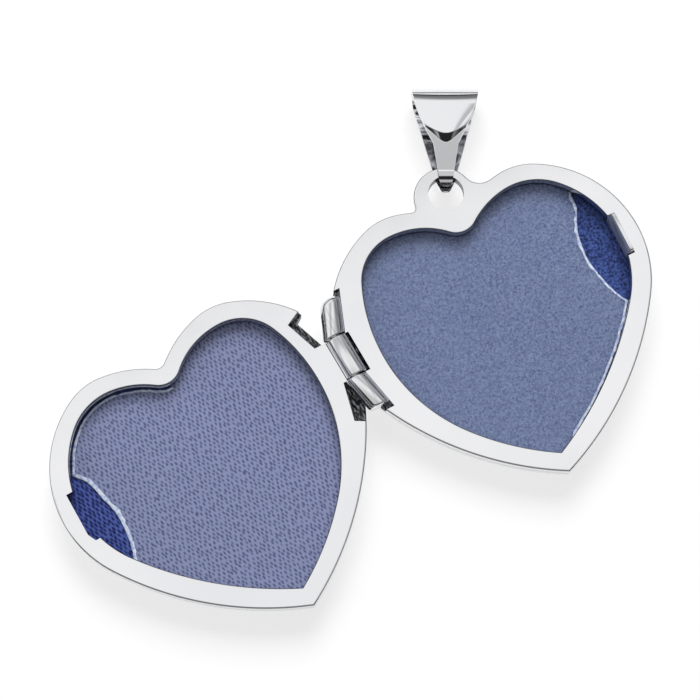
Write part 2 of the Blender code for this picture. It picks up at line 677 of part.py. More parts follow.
def make_bail():
    """A tapered strip bent round at its wide end, its two tips closed through the ear."""
    point, out, across, band = bail_place()
    half_width = BAIL_REAR_RING_WIDTH / 2
    sag = EAR_HOLE_R - math.sqrt(EAR_HOLE_R ** 2 - half_width ** 2)
    wrap = math.hypot(band / 2 + sag, FRAME_T / 2) + BAIL_WRAP_CLEARANCE + BAIL_T / 2
    path, distance, end_r, middle = bail_loop(wrap)
    # The round end lies just above the floor.
    drop = (end_r + BAIL_T / 2 + BAIL_FLOOR_GAP - point.z) / distance
    turn = Matrix.Rotation(math.asin(drop) - middle, 3, across)
    runs = [0.0]
    for here, there in zip(path, path[1:]):
        runs.append(runs[-1] + math.hypot(there[0] - here[0], there[1] - here[1]))
    top, bottom = [], []
    for (along, up, heading), run in zip(path, runs):
        front = heading > -math.pi / 2
        width = front_width(along) if front else rear_width(along)
        width *= rounded_tip(min(run, runs[-1] - run))
        normal = Vector((-math.sin(heading), math.cos(heading)))
        for sheet, offset in ((top, BAIL_T / 2), (bottom, -BAIL_T / 2)):
            row = []
            for step in range(BAIL_ACROSS + 1):
                share = 2 * step / BAIL_ACROSS - 1
                lift = offset + (dome_height(along, share) if front else 0.0)
                place = (out * (along + normal.x * lift) + across * (share * width / 2)
                         + Vector((0, 0, up + normal.y * lift)))
                row.append(turn @ place)
            sheet.append(row)
    bail = add_object("bail", two_sided_sheet(top, bottom), METAL)
    bail.location = point
    return bail


def two_sided_sheet(top, bottom):
    """A closed thin solid between two grids of points."""
    made = bmesh.new()
    sheets = [[[made.verts.new(point) for point in row] for row in grid]
              for grid in (top, bottom)]
    rows, columns = len(top), len(top[0])
    for sheet in sheets:
        for i in range(rows - 1):
            for j in range(columns - 1):
                made.faces.new((sheet[i][j], sheet[i][j + 1],
                                sheet[i + 1][j + 1], sheet[i + 1][j]))
    upper, lower = sheets
    for i in range(rows - 1):
        for j in (0, columns - 1):
            made.faces.new((upper[i][j], upper[i + 1][j], lower[i + 1][j], lower[i][j]))
    for j in range(columns - 1):
        for i in (0, rows - 1):
            made.faces.new((upper[i][j], upper[i][j + 1], lower[i][j + 1], lower[i][j]))
    return made


# --- Assembly -------------------------------------------------------------------------

def clear_scene():
    """Removes what the scene holds."""
    for item in list(bpy.data.objects):
        bpy.data.objects.remove(item)


def empty(name, location, parent=None):
    """An empty to carry pieces."""
    made = bpy.data.objects.new(name, None)
    bpy.context.scene.collection.objects.link(made)
    made.location = location
    made.parent = parent
    return made


def carry(parent, pieces):
    """Parents pieces where they stand."""
    bpy.context.view_layer.update()
    for piece in pieces:
        piece.parent = parent
        piece.matrix_parent_inverse = parent.matrix_world.inverted()


def middle_y(pieces):
    """The middle of all the pieces along Y."""
    bpy.context.view_layer.update()
    corners = [piece.matrix_world @ vertex.co for piece in pieces
               for vertex in piece.data.vertices]
    values = [corner.y for corner in corners]
    return (min(values) + max(values)) / 2


def main():
    """Builds the locket with its origin under its middle, at the level it lies on."""
    clear_scene()
    frames = {BACK: make_frame("back_frame", BACK), FRONT: make_frame("front_frame", FRONT)}
    shell = make_shell("front_shell", FRONT)
    upper, middle, lower, pin = make_hinge(frames, shell)
    front = [frames[FRONT], shell, middle, make_insert("front_insert", FRONT),
             make_film("front_film", FRONT)]
    back = [frames[BACK], make_shell("back_shell", BACK), upper, lower, pin, make_catch_tab(),
            make_insert("back_insert", BACK), make_film("back_film", BACK), make_bail()]
    cutters = [item for item in bpy.data.objects if item.display_type == "WIRE"]
    locket = empty("locket", (0, 0, 0))
    lid = empty("lid_axis", (0, 0, AXIS_Z), locket)
    carry(locket, back + cutters)
    carry(lid, front)
    locket.location.y = -middle_y(back + front)


main()
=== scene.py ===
"""The looks of a heart locket that lies open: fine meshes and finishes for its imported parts.

Sizes are in metres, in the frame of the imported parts: +Z up, the hinge along Y, the back
half (ear, bail and catch) at +X and the front half at -X. Each half has a flat heart frame
of its own, whose origin is on the heart's axis and whose +Y runs from the tip to the cleft.
"""

import json
import logging
import math
from dataclasses import dataclass
from enum import Enum

import bmesh
import bpy
from mathutils import Matrix, Vector, noise


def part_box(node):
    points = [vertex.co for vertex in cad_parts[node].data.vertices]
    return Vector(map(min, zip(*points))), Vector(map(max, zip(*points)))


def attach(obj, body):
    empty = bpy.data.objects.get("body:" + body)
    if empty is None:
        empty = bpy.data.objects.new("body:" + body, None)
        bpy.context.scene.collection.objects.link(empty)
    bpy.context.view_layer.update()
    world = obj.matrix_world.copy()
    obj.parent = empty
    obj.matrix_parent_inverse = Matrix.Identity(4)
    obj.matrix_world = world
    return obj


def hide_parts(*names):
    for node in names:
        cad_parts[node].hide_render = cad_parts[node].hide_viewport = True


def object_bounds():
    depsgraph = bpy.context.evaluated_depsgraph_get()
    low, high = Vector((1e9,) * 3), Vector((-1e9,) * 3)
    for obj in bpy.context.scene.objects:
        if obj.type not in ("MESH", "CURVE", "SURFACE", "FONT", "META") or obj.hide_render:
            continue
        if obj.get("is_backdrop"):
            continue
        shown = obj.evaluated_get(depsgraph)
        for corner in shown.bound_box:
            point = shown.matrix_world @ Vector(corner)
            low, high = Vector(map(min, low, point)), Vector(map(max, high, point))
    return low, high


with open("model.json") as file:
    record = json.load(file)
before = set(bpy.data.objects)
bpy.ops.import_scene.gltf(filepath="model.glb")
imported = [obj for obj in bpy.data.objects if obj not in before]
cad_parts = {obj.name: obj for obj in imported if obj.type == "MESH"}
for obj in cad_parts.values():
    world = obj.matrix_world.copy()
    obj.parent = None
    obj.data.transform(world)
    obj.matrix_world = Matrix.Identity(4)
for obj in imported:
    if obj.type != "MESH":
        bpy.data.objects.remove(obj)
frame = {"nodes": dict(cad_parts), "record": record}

CAD_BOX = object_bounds()
LOG = logging.getLogger("locket")
MM = 0.001

Point = tuple[float, float]
Ring = list[Vector]
Colour = tuple[float, float, float, float]
Material = bpy.types.Material
Node = bpy.types.Node
Object = bpy.types.Object
Socket = bpy.types.NodeSocket
Tree = bpy.types.NodeTree


# --- Nodes and colours ----------------------------------------------------------------

def srgb(hex_colour: str) -> Colour:
    """Turns an sRGB hex colour into a linear one.

    Args:
        hex_colour: Six hex digits.

    Returns:
        Red, green, blue and an alpha of 1.
    """
    values = [int(hex_colour[i:i + 2], 16) / 255 for i in (0, 2, 4)]
    linear = [v / 12.92 if v <= 0.04045 else ((v + 0.055) / 1.055) ** 2.4 for v in values]
    return (*linear, 1.0)


def gray(level: float) -> Colour:
    """A linear gray."""
    return (level, level, level, 1.0)


def add_node(tree: Tree, kind: str, settings: dict | None = None, links: dict | None = None,
             stops: list[tuple[float, str | float]] | None = None) -> Node:
    """Adds a node to a tree.

    Args:
        tree: The tree it goes into.
        kind: The node's type, without the ShaderNode in front.
        settings: Values by property or input name, or by input number.
        links: Output sockets by input name or number.
        stops: A colour ramp's (place, hex colour or linear gray) pairs, in order.

    Returns:
        The new node.
    """
    node = tree.nodes.new("ShaderNode" + kind)
    for key, value in (settings or {}).items():
        if isinstance(key, str) and hasattr(node, key):
            setattr(node, key, value)
        else:
            node.inputs[key].default_value = value
    for key, socket in (links or {}).items():
        tree.links.new(socket, node.inputs[key])
    if stops:
        elements = node.color_ramp.elements
        while len(elements) < len(stops):
            elements.new(1.0)
        for element, (place, colour) in zip(elements, stops):
            element.position = place
            element.color = srgb(colour) if isinstance(colour, str) else gray(colour)
    return node


def new_material(name: str) -> tuple[Material, Tree, Node, Socket]:
    """An empty Principled material.

    Args:
        name: Its name.

    Returns:
        The material, its tree, its shader and the socket with the place on the object.
    """
    made = bpy.data.materials.new(name)
    made.use_nodes = True
    tree = made.node_tree
    place = add_node(tree, "TexCoord").outputs["Object"]
    return made, tree, tree.nodes["Principled BSDF"], place


def paint(tree: Tree, shader: Node, pattern: Socket, stops: list[tuple[float, str]],
          relief: Point, values: dict[str, float]) -> None:
    """Gives a shader its colours and relief by one pattern, and its even values.

    Args:
        tree: The material's tree.
        shader: Its shader.
        pattern: The pattern, from 0 to 1.
        stops: (place in the pattern, hex colour) pairs.
        relief: The bump's strength and height.
        values: The shader's own values, by input name.
    """
    tint = add_node(tree, "ValToRGB", links={"Fac": pattern}, stops=stops)
    tree.links.new(tint.outputs["Color"], shader.inputs["Base Color"])
    bump = add_node(tree, "Bump", {"Strength": relief[0], "Distance": relief[1]},
                    {"Height": pattern})
    tree.links.new(bump.outputs["Normal"], shader.inputs["Normal"])
    for name, value in values.items():
        shader.inputs[name].default_value = value


# --- Finishes -------------------------------------------------------------------------

@dataclass(frozen=True)
class PolishedRhodium:
    """Rhodium-plated silver, mopped to a mirror: near white, with soft wheel waves."""

    name: str = "polished_rhodium_plate"
    light: str = "F6F6F8"
    shade: str = "ECEDF0"
    roughness: float = 0.07
    wheel_wave: float = 5.0 * MM     # soft hollows that the polishing wheel leaves
    wave_height: float = 0.004
    hairline: float = 0.09 * MM      # drawn far coarser than real hairlines, so that they show
    hairline_height: float = 0.010

    def material(self) -> Material:
        """Two near whites by cloudy noise, with wheel waves and hairlines as bump."""
        made, tree, shader, place = new_material(self.name)
        clouds = add_node(tree, "TexNoise", {"Scale": 1 / (2 * self.wheel_wave), "Detail": 3.0},
                          {"Vector": place})
        tint = add_node(tree, "ValToRGB", links={"Fac": clouds.outputs["Fac"]},
                        stops=[(0.3, self.shade), (0.7, self.light)])
        waves = add_node(tree, "TexNoise", {"Scale": 1 / self.wheel_wave, "Detail": 1.0},
                         {"Vector": place})
        stretched = add_node(tree, "Mapping", {"Scale": (1.0, 0.12, 1.0),
                                               "Rotation": (0.0, 0.0, 0.7)}, {"Vector": place})
        hairs = add_node(tree, "TexNoise", {"Scale": 1 / self.hairline, "Detail": 2.0},
                         {"Vector": stretched.outputs["Vector"]})
        soft = add_node(tree, "Bump", {"Strength": self.wave_height, "Distance": self.wheel_wave},
                        {"Height": waves.outputs["Fac"]})
        fine = add_node(tree, "Bump", {"Strength": self.hairline_height,
                                       "Distance": self.hairline},
                        {"Height": hairs.outputs["Fac"], "Normal": soft.outputs["Normal"]})
        rough = add_node(tree, "MapRange", {"To Min": 0.7 * self.roughness,
                                            "To Max": 1.6 * self.roughness},
                         {"Value": hairs.outputs["Fac"]})
        for name, output in (("Base Color", tint.outputs["Color"]),
                             ("Normal", fine.outputs["Normal"]),
                             ("Roughness", rough.outputs["Result"])):
            tree.links.new(output, shader.inputs[name])
        shader.inputs["Metallic"].default_value = 1.0
        return made


@dataclass(frozen=True)
class DrawnRhodium:
    """Plated tube, drawn through a die: mirror-like with long streaks along it, the die's lines
    and partly painted reflection.
    """

    name: str = "drawn_rhodium_tube"
    light: str = "EDEEF0"
    shade: str = "DCDDE0"
    roughness: float = 0.10
    streak: float = 0.22 * MM        # real draw lines are finer; drawn as coarse as they show
    streak_length: float = 4.0 * MM
    streak_height: float = 0.012

    def material(self) -> Material:
        """Light and shaded streaks along the tube: in colour, where they are partly painted
        reflection, and in roughness and bump.
        """
        made, tree, shader, place = new_material(self.name)
        along = add_node(tree, "Mapping", {"Scale": (1.0, self.streak / self.streak_length, 1.0)},
                         {"Vector": place})
        lines = add_node(tree, "TexNoise", {"Scale": 1 / self.streak, "Detail": 2.5},
                         {"Vector": along.outputs["Vector"]})
        rough = add_node(tree, "MapRange", {"To Min": 1.8 * self.roughness,
                                            "To Max": 0.6 * self.roughness},
                         {"Value": lines.outputs["Fac"]})
        tree.links.new(rough.outputs["Result"], shader.inputs["Roughness"])
        # The streaks in the colour are partly painted reflection.
        paint(tree, shader, lines.outputs["Fac"], [(0.32, self.shade), (0.5, self.light)],
              (self.streak_height, self.streak), {"Metallic": 1.0})
        return made


@dataclass(frozen=True)
class FiledSilver:
    """Silver as the file and burr left it in a notch: rough and streaky, on a dark ground of
    painted shade.
    """

    name: str = "filed_silver"
    scratch_light: str = "C9CACD"
    scratch_shade: str = "55565A"
    # Near black: painted shade in the notches, seats, slots and pits that this finish lines.
    recess_shade: str = "1D1D20"
    roughness: float = 0.42
    file_tooth: float = 0.11 * MM    # pitch of a fine cut file
    tooth_depth: float = 0.5

    def material(self) -> Material:
        """Painted shade between bright file strokes, which run across the wall."""
        made, tree, shader, place = new_material(self.name)
        stroke = add_node(tree, "Mapping", {"Scale": (1.0, 0.30, 0.5),
                                            "Rotation": (0.0, 0.0, 0.75)}, {"Vector": place})
        strokes = add_node(tree, "TexNoise", {"Scale": 1 / self.file_tooth, "Detail": 4.0,
                                              "Roughness": 0.65},
                           {"Vector": stroke.outputs["Vector"]})
        paint(tree, shader, strokes.outputs["Fac"],
              [(0.40, self.recess_shade), (0.52, self.scratch_shade), (0.66, self.scratch_light)],
              (self.tooth_depth, self.file_tooth),
              {"Roughness": self.roughness, "Metallic": 1.0})
        return made


@dataclass(frozen=True)
class FeltCard:
    """Card covered with a fine flocked felt: deep blue with a grain of short fibres."""

    name: str = "blue_felt_card"
    fibre: str = "4A62A8"
    depth: str = "0C1440"
    grain: float = 0.16 * MM         # clumps of flock fibres
    roughness: float = 0.92
    sheen: float = 0.15

    def material(self) -> Material:
        """Fibre clumps by noise in colour and bump, with a soft sheen."""
        made, tree, shader, place = new_material(self.name)
        clumps = add_node(tree, "TexNoise", {"Scale": 1 / self.grain, "Detail": 5.0,
                                             "Roughness": 0.62}, {"Vector": place})
        paint(tree, shader, clumps.outputs["Fac"], [(0.36, self.depth), (0.64, self.fibre)],
              (0.5, self.grain / 2), {"Roughness": self.roughness, "Sheen Weight": self.sheen})
        return made


@dataclass(frozen=True)
class Twill:
    """Twill weave: staggered rows of short threads, seen as diagonal ribs."""

    spacing: float = 0.215 * MM      # from one rib to the next
    length: float = 0.37 * MM        # from one thread to the next in a rib
    turn: float = -60.0              # degrees from +X to the ribs

    def height(self, tree: Tree, place: Socket) -> Socket:
        """The weave's relief.

        Args:
            tree: The material's tree.
            place: The socket with the place on the cloth, in metres.

        Returns:
            The height: 0 in the gaps between threads and 1 on their crowns.
        """
        turned = add_node(tree, "Mapping", {"Rotation": (0.0, 0.0, -math.radians(self.turn))},
                          {"Vector": place})
        cells = add_node(tree, "Mapping", {"Scale": (1 / self.length, 1 / self.spacing, 0.0)},
                         {"Vector": turned.outputs["Vector"]})
        split = add_node(tree, "SeparateXYZ", links={0: cells.outputs["Vector"]}).outputs
        stagger = add_node(tree, "Math", {"operation": "MULTIPLY_ADD", 1: 0.5},
                           {0: split["Y"], 2: split["X"]})
        spot = add_node(tree, "CombineXYZ", links={"X": stagger.outputs[0], "Y": split["Y"]})
        threads = add_node(tree, "TexVoronoi", {"voronoi_dimensions": "2D", "Scale": 1.0,
                                                "Randomness": 0.38},
                           {"Vector": spot.outputs["Vector"]})
        worn = add_node(tree, "TexNoise", {"noise_dimensions": "2D", "Scale": 1.1,
                                           "Detail": 2.0}, {"Vector": spot.outputs["Vector"]})
        uneven = add_node(tree, "Math", {"operation": "MULTIPLY_ADD", 1: 0.5},
                          {0: worn.outputs["Fac"], 2: threads.outputs["Distance"]})
        height = add_node(tree, "MapRange", {"interpolation_type": "SMOOTHSTEP",
                                             "From Min": 0.16, "From Max": 0.92},
                          {"Value": uneven.outputs[0]})
        return height.outputs["Result"]


@dataclass(frozen=True)
class TwillCard:
    """Card covered with woven twill: diagonal ribs of short stitches."""

    name: str = "blue_twill_card"
    thread: str = "4A5CA4"
    shaded_thread: str = "22306E"
    # Near black painted shade down in the weave's gaps; the shaded thread colour is painted shade
    # too.
    groove: str = "070B28"
    weave: Twill = Twill()
    fibre_share: float = 0.42
    roughness: float = 0.85
    sheen: float = 0.15

    def material(self) -> Material:
        """Staggered threads with painted shade in the gaps between them, broken up by fibre noise.
        """
        made, tree, shader, place = new_material(self.name)
        height = self.weave.height(tree, place)
        fibres = add_node(tree, "TexNoise", {"Scale": 2.4 / self.weave.spacing, "Detail": 3.0,
                                             "Roughness": 0.7}, {"Vector": place})
        both = add_node(tree, "Mix", {"data_type": "FLOAT", 0: self.fibre_share},
                        {2: height, 3: fibres.outputs["Fac"]})
        paint(tree, shader, both.outputs[0],
              [(0.22, self.groove), (0.50, self.shaded_thread), (0.78, self.thread)],
              (0.6, self.weave.spacing / 3),
              {"Roughness": self.roughness, "Sheen Weight": self.sheen})
        return made


@dataclass(frozen=True)
class PolyesterFilm:
    """Satin polyester film pressed on the cloth, which prints its grain in the haze."""

    name: str = "satin_polyester_film"
    haze: str = "A6B6DA"
    haze_dark: str = "4C5C92"
    cover: float = 0.50              # how much of the haze hides the cloth
    roughness: float = 0.35
    sparkle: float = 0.09 * MM       # satin grain, drawn as coarse as it needs to show
    ior: float = 1.57
    weave: Twill | None = None       # the cloth under it, where it isn't felt

    def grain(self, tree: Tree, place: Socket) -> Socket:
        """The cloth's relief: felt clumps or twill.

        Args:
            tree: The material's tree.
            place: The socket with the place on the film.

        Returns:
            The height, from 0 to 1.
        """
        if self.weave:
            return self.weave.height(tree, place)
        clumps = add_node(tree, "TexNoise", {"Scale": 1 / (2 * self.sparkle), "Detail": 4.0,
                                             "Roughness": 0.7}, {"Vector": place})
        return clumps.outputs["Fac"]

    def material(self) -> Material:
        """A hazy sheet with the cloth's grain and fine sparkles, which in its colour are painted
        glints.
        """
        made, tree, shader, place = new_material(self.name)
        height = self.grain(tree, place)
        sparkle_glints = add_node(tree, "TexNoise", {"Scale": 1 / self.sparkle, "Detail": 3.0,
                                               "Roughness": 0.7}, {"Vector": place})
        # The sparkles lighten and darken the haze: painted glints.
        both = add_node(tree, "Mix", {"data_type": "FLOAT", 0: 0.4},
                        {2: height, 3: sparkle_glints.outputs["Fac"]})
        paint(tree, shader, both.outputs[0], [(0.36, self.haze_dark), (0.62, self.haze)],
              (0.35, self.sparkle / 2),
              {"Roughness": self.roughness, "IOR": self.ior, "Alpha": self.cover})
        return made


@dataclass(frozen=True)
class SnippedFilmEdge:
    """The film's cut edge: lavender like the film's haze, with white painted highlight where the
    cut catches the light.
    """

    name: str = "snipped_film_edge"
    # Painted highlight along the cut.
    white: str = "DCE6F5"
    lavender: str = "A6B5DE"
    tear: float = 0.22 * MM
    roughness: float = 0.5

    def material(self) -> Material:
        """Patches of white painted highlight and lavender along the cut."""
        made, tree, shader, place = new_material(self.name)
        tears = add_node(tree, "TexNoise", {"Scale": 1 / self.tear, "Detail": 3.0},
                         {"Vector": place})
        paint(tree, shader, tears.outputs["Fac"], [(0.38, self.lavender), (0.56, self.white)],
              (0.4, self.tear / 3), {"Roughness": self.roughness})
        return made


@dataclass(frozen=True)
class PaperSweep:
    """Backlit white background paper: pure white to the camera, with a soft faint shadow."""

    name: str = "backlit_paper"
    white: str = "FBFBFB"
    glow: float = 0.58               # share of the light that comes through the paper
    backlight: float = 1.07
    tooth: float = 0.6 * MM

    def material(self) -> Material:
        """White paper with a faint tooth, and its glow for the camera and for mirrors."""
        made, tree, shader, place = new_material(self.name)
        tooth = add_node(tree, "TexNoise", {"Scale": 1 / self.tooth, "Detail": 2.0},
                         {"Vector": place})
        bump = add_node(tree, "Bump", {"Strength": 0.03, "Distance": self.tooth / 4},
                        {"Height": tooth.outputs["Fac"]})
        tree.links.new(bump.outputs["Normal"], shader.inputs["Normal"])
        shader.inputs["Base Color"].default_value = srgb(self.white)
        shader.inputs["Roughness"].default_value = 1.0
        shader.inputs["Specular IOR Level"].default_value = 0.0
        light = add_node(tree, "Emission", {"Color": gray(1.0), "Strength": self.backlight})
        through = add_node(tree, "MixShader", {0: self.glow},
                           {1: shader.outputs[0], 2: light.outputs[0]})
        rays = add_node(tree, "LightPath").outputs
        straight = add_node(tree, "Math", {"operation": "MAXIMUM"},
                            {0: rays["Is Camera Ray"], 1: rays["Is Glossy Ray"]})
        clear = add_node(tree, "Math", {"operation": "MAXIMUM"},
                         {0: straight.outputs[0], 1: rays["Is Transmission Ray"]})
        chosen = add_node(tree, "MixShader", links={0: clear.outputs[0], 1: shader.outputs[0],
                                                    2: through.outputs[0]})
        tree.links.new(chosen.outputs[0], tree.nodes["Material Output"].inputs["Surface"])
        return made


@dataclass(frozen=True)
class Finishes:
    """Every material of the locket, made once."""

    rhodium: Material
    tube: Material
    filed: Material
    felt: Material
    twill: Material
    film: Material
    twill_film: Material
    film_edge: Material
    # The dark edge finish: painted shade for thin dark outlines.
    edge: Material
    # A darker rhodium: painted shade on the catch tab's inner face.
    tab_inner_shade: Material


# --- Heart outlines -------------------------------------------------------------------

class Half(Enum):
    """The two halves, by the sign of their X."""

    BACK = 1
    FRONT = -1


@dataclass(frozen=True)
class Arc:
    """An arc of an outline. Hollow arcs curve the other way, as in the cleft."""

    x: float
    y: float
    radius: float
    start: float
    end: float
    hollow: bool = False

    def point(self, share: float, inset: float = 0.0, end: float | None = None) -> Point:
        """A point of the arc.

        Args:
            share: How far along it, from 0 to 1.
            inset: How far the point is moved inwards.
            end: An angle that replaces the arc's own end.

        Returns:
            Its place in the heart frame.
        """
        radius = self.radius + inset if self.hollow else self.radius - inset
        angle = self.start + share * ((self.end if end is None else end) - self.start)
        return self.x + radius * math.cos(angle), self.y + radius * math.sin(angle)

    def followed_by(self, radius: float, sweep: float) -> "Arc":
        """The bulging arc that carries on smoothly, turning right by sweep degrees."""
        x, y = self.point(1.0)
        start = self.end + (math.pi if self.hollow else 0.0)
        return Arc(x - radius * math.cos(start), y - radius * math.sin(start), radius, start,
                   start - math.radians(sweep))

    def to_tip(self, tip_y: float) -> "Arc":
        """The last arc, which ends at the tip on the heart's axis."""
        x, y = self.point(1.0)
        inward = (-math.cos(self.end), -math.sin(self.end))
        run = (-x, tip_y - y)
        radius = (run[0] ** 2 + run[1] ** 2) / (2 * (run[0] * inward[0] + run[1] * inward[1]))
        centre = (x + radius * inward[0], y + radius * inward[1])
        return Arc(*centre, radius, self.end, -math.acos(-centre[0] / radius))


@dataclass(frozen=True)
class Contour:
    """One side of a heart as tangent arcs. Bulges are (radius, sweep in degrees)."""

    cleft_y: float
    cleft_r: float
    cleft_turn: float
    bulges: tuple[Point, ...]
    tip_y: float

    def arcs(self) -> list[Arc]:
        """The arcs from the cleft to the tip."""
        down = math.radians(-90)
        turn = down + math.radians(self.cleft_turn)
        chain = [Arc(0.0, self.cleft_y + self.cleft_r, self.cleft_r, down, turn, True)]
        for radius, sweep in self.bulges:
            chain.append(chain[-1].followed_by(radius, sweep))
        return chain + [chain[-1].to_tip(self.tip_y)]


@dataclass(frozen=True)
class Ear:
    """The ring for the bail, which takes the cleft's place on the back half."""

    radius: float = 1.96 * MM
    x: float = -0.30 * MM
    y: float = 5.30 * MM
    catch_root_r: float = 1.15 * MM
    hinge_root_r: float = 0.28 * MM
    hole_r: float = 1.15 * MM
    hole_x: float = -0.08 * MM
    hole_y: float = 5.50 * MM

    def arcs(self, side: int, outline: list[Arc]) -> list[Arc]:
        """The outline with the ear and its root fillet in place of the cleft.

        Args:
            side: +1 for the catch side and -1 for the hinge side.
            outline: The plain outline's arcs.

        Returns:
            The arcs from the ear's top to the tip.
        """
        flank = outline[1]
        root_r = self.catch_root_r if side > 0 else self.hinge_root_r
        ear = (side * self.x, self.y)
        across = math.hypot(flank.x - ear[0], flank.y - ear[1])
        to_ear, to_flank = self.radius + root_r, flank.radius + root_r
        along = (across ** 2 + to_ear ** 2 - to_flank ** 2) / (2 * across)
        height = math.sqrt(to_ear ** 2 - along ** 2)
        ux, uy = (flank.x - ear[0]) / across, (flank.y - ear[1]) / across
        root = (ear[0] + along * ux - height * uy, ear[1] + along * uy + height * ux)
        ear_end = math.atan2(root[1] - ear[1], root[0] - ear[0])
        flank_start = math.atan2(root[1] - flank.y, root[0] - flank.x)
        return [Arc(*ear, self.radius, math.radians(90), ear_end),
                Arc(*root, root_r, ear_end + math.pi, flank_start + math.pi, True),
                Arc(flank.x, flank.y, flank.radius, flank_start, flank.end)] + outline[2:]


class Line(Enum):
    """The lines that a half's rings follow."""

    OUTLINE = "outline"
    EAR = "ear"
    WINDOW = "window"


@dataclass(frozen=True)
class HeartShape:
    """Both halves' outline, window and place beside the hinge."""

    hinge_x: float = 10.364 * MM     # hinge axis to the middle of each heart
    lean: float = 5.07               # degrees that each tip leans to the hinge
    hinge_gap: float = 0.06 * MM
    outline: Contour = Contour(3.89 * MM, 0.63 * MM, 36.9,
                               ((7.60 * MM, 27.3), (3.96 * MM, 32.5), (7.55 * MM, 97.0)),
                               -14.19 * MM)
    window_catch: Contour = Contour(2.72 * MM, 1.40 * MM, 40.0,
                                    ((5.67 * MM, 28.5), (3.94 * MM, 51.4), (6.72 * MM, 84.0)),
                                    -12.88 * MM)
    window_hinge: Contour = Contour(2.72 * MM, 1.40 * MM, 40.0,
                                    ((5.10 * MM, 45.3), (3.18 * MM, 65.0), (11.08 * MM, 64.0)),
                                    -12.88 * MM)
    ear: Ear = Ear()
    steps: tuple[int, ...] = (26, 14, 18, 40, 34)
    ear_steps: int = 20

    def arcs(self, line: Line, side: int) -> list[Arc]:
        """The arcs of a line on one side: +1 is the catch side and -1 the hinge side."""
        if line is Line.WINDOW:
            return (self.window_catch if side > 0 else self.window_hinge).arcs()
        plain = self.outline.arcs()
        return self.ear.arcs(side, plain) if line is Line.EAR else plain

    def stations(self, line: Line, side: int, inset: float = 0.0) -> list[Point]:
        """Points down one side of a line, moved inwards by inset."""
        steps = self.steps
        if line is Line.EAR:
            steps = (self.ear_steps, steps[0] - self.ear_steps) + steps[1:]
        arcs = self.arcs(line, side)
        last = arcs[-1]
        end = -math.acos(-last.x / (last.radius - inset))
        points = []
        for arc, count in zip(arcs, steps):
            close = end if arc is last else None
            points += [arc.point(step / count, inset, close) for step in range(count)]
        return points + [(0.0, last.point(1.0, inset, end)[1])]

    def place(self, half: Half, x: float, y: float, z: float) -> Vector:
        """A point of a half's heart frame beside the hinge, trimmed at the hinge line."""
        turn = math.radians(self.lean)
        across = x * math.cos(turn) + y * math.sin(turn) + self.hinge_x
        return Vector((half.value * max(across, self.hinge_gap / 2),
                       y * math.cos(turn) - x * math.sin(turn), z))

    def ring(self, half: Half, z: float, line: Line, inset: float = 0.0,
             scale: float = 1.0) -> Ring:
        """One closed ring of points round a half.

        Args:
            half: Which half.
            z: Its height.
            line: The line that it follows.
            inset: How far it is moved inwards.
            scale: How far it is shrunk to the heart's middle.

        Returns:
            The ring's points, the same number for every line.
        """
        right, left = (
            [(side * x, y) for x, y in self.stations(line, side, inset)] for side in (1, -1))
        middle = (self.outline.cleft_y + self.outline.tip_y) / 2
        return [self.place(half, x * scale, middle + (y - middle) * scale, z)
                for x, y in right + left[-2:0:-1]]

    def window_edge(self, y: float) -> float:
        """Where the window's edge on the catch side crosses a height of the heart frame."""
        points = self.stations(Line.WINDOW, 1)
        return max(x0 + (x1 - x0) * (y0 - y) / (y0 - y1)
                   for (x0, y0), (x1, y1) in zip(points, points[1:]) if y0 >= y > y1)


@dataclass(frozen=True)
class Levels:
    """Heights of the flat faces over the table."""

    shell_top: float = 1.66 * MM
    seat: float = 0.04 * MM
    rim_thickness: float = 1.0 * MM
    closed_gap: float = 0.10 * MM
    film_thickness: float = 0.22 * MM
    card_thickness: float = 0.35 * MM

    @property
    def rim_bottom(self) -> float:
        """The underside of the rims."""
        return self.shell_top + self.seat

    @property
    def rim_top(self) -> float:
        """The polished face of the rims."""
        return self.rim_bottom + self.rim_thickness

    @property
    def hinge_axis(self) -> float:
        """The hinge axis, between the two rims when the locket is shut."""
        return self.rim_top + self.closed_gap / 2

    @property
    def card_top(self) -> float:
        """The face of the cloth."""
        return self.rim_bottom - 2 * self.seat - self.film_thickness

    @property
    def ledge(self) -> float:
        """The ledge in the shell that the card rests on."""
        return self.card_top - self.card_thickness - self.seat


SHAPE = HeartShape()
LEVELS = Levels()
SHARP_ANGLE = math.radians(50)       # edges steeper than this are rounded
SAME_LEVEL = 0.002 * MM              # how far a plate's points may stray
LEVEL_FACE = 0.9995                  # the upward part of a level face's normal


# --- Meshes ---------------------------------------------------------------------------

def quarter(steps: int) -> list[float]:
    """The angles of a quarter turn in even steps."""
    return [math.radians(90 * step / steps) for step in range(steps + 1)]


def join(shape: bmesh.types.BMesh, low: list[bmesh.types.BMVert],
         high: list[bmesh.types.BMVert]) -> None:
    """Joins two rows of vertices by a strip of faces."""
    for i in range(len(low) - 1):
        shape.faces.new((low[i], low[i + 1], high[i + 1], high[i]))


def loft(rings: list[Ring], closed: bool = False) -> bmesh.types.BMesh:
    """A solid from rings with as many points each.

    Args:
        rings: The rings, in order.
        closed: Whether the last ring joins the first. Otherwise both ends are capped.

    Returns:
        The mesh.
    """
    made = bmesh.new()
    rows = [[made.verts.new(point) for point in ring] for ring in rings]
    pairs = list(zip(rows, rows[1:])) + ([(rows[-1], rows[0])] if closed else [])
    for low, high in pairs:
        join(made, low + low[:1], high + high[:1])
    if not closed:
        made.faces.new(rows[0])
        made.faces.new(rows[-1])
    return made


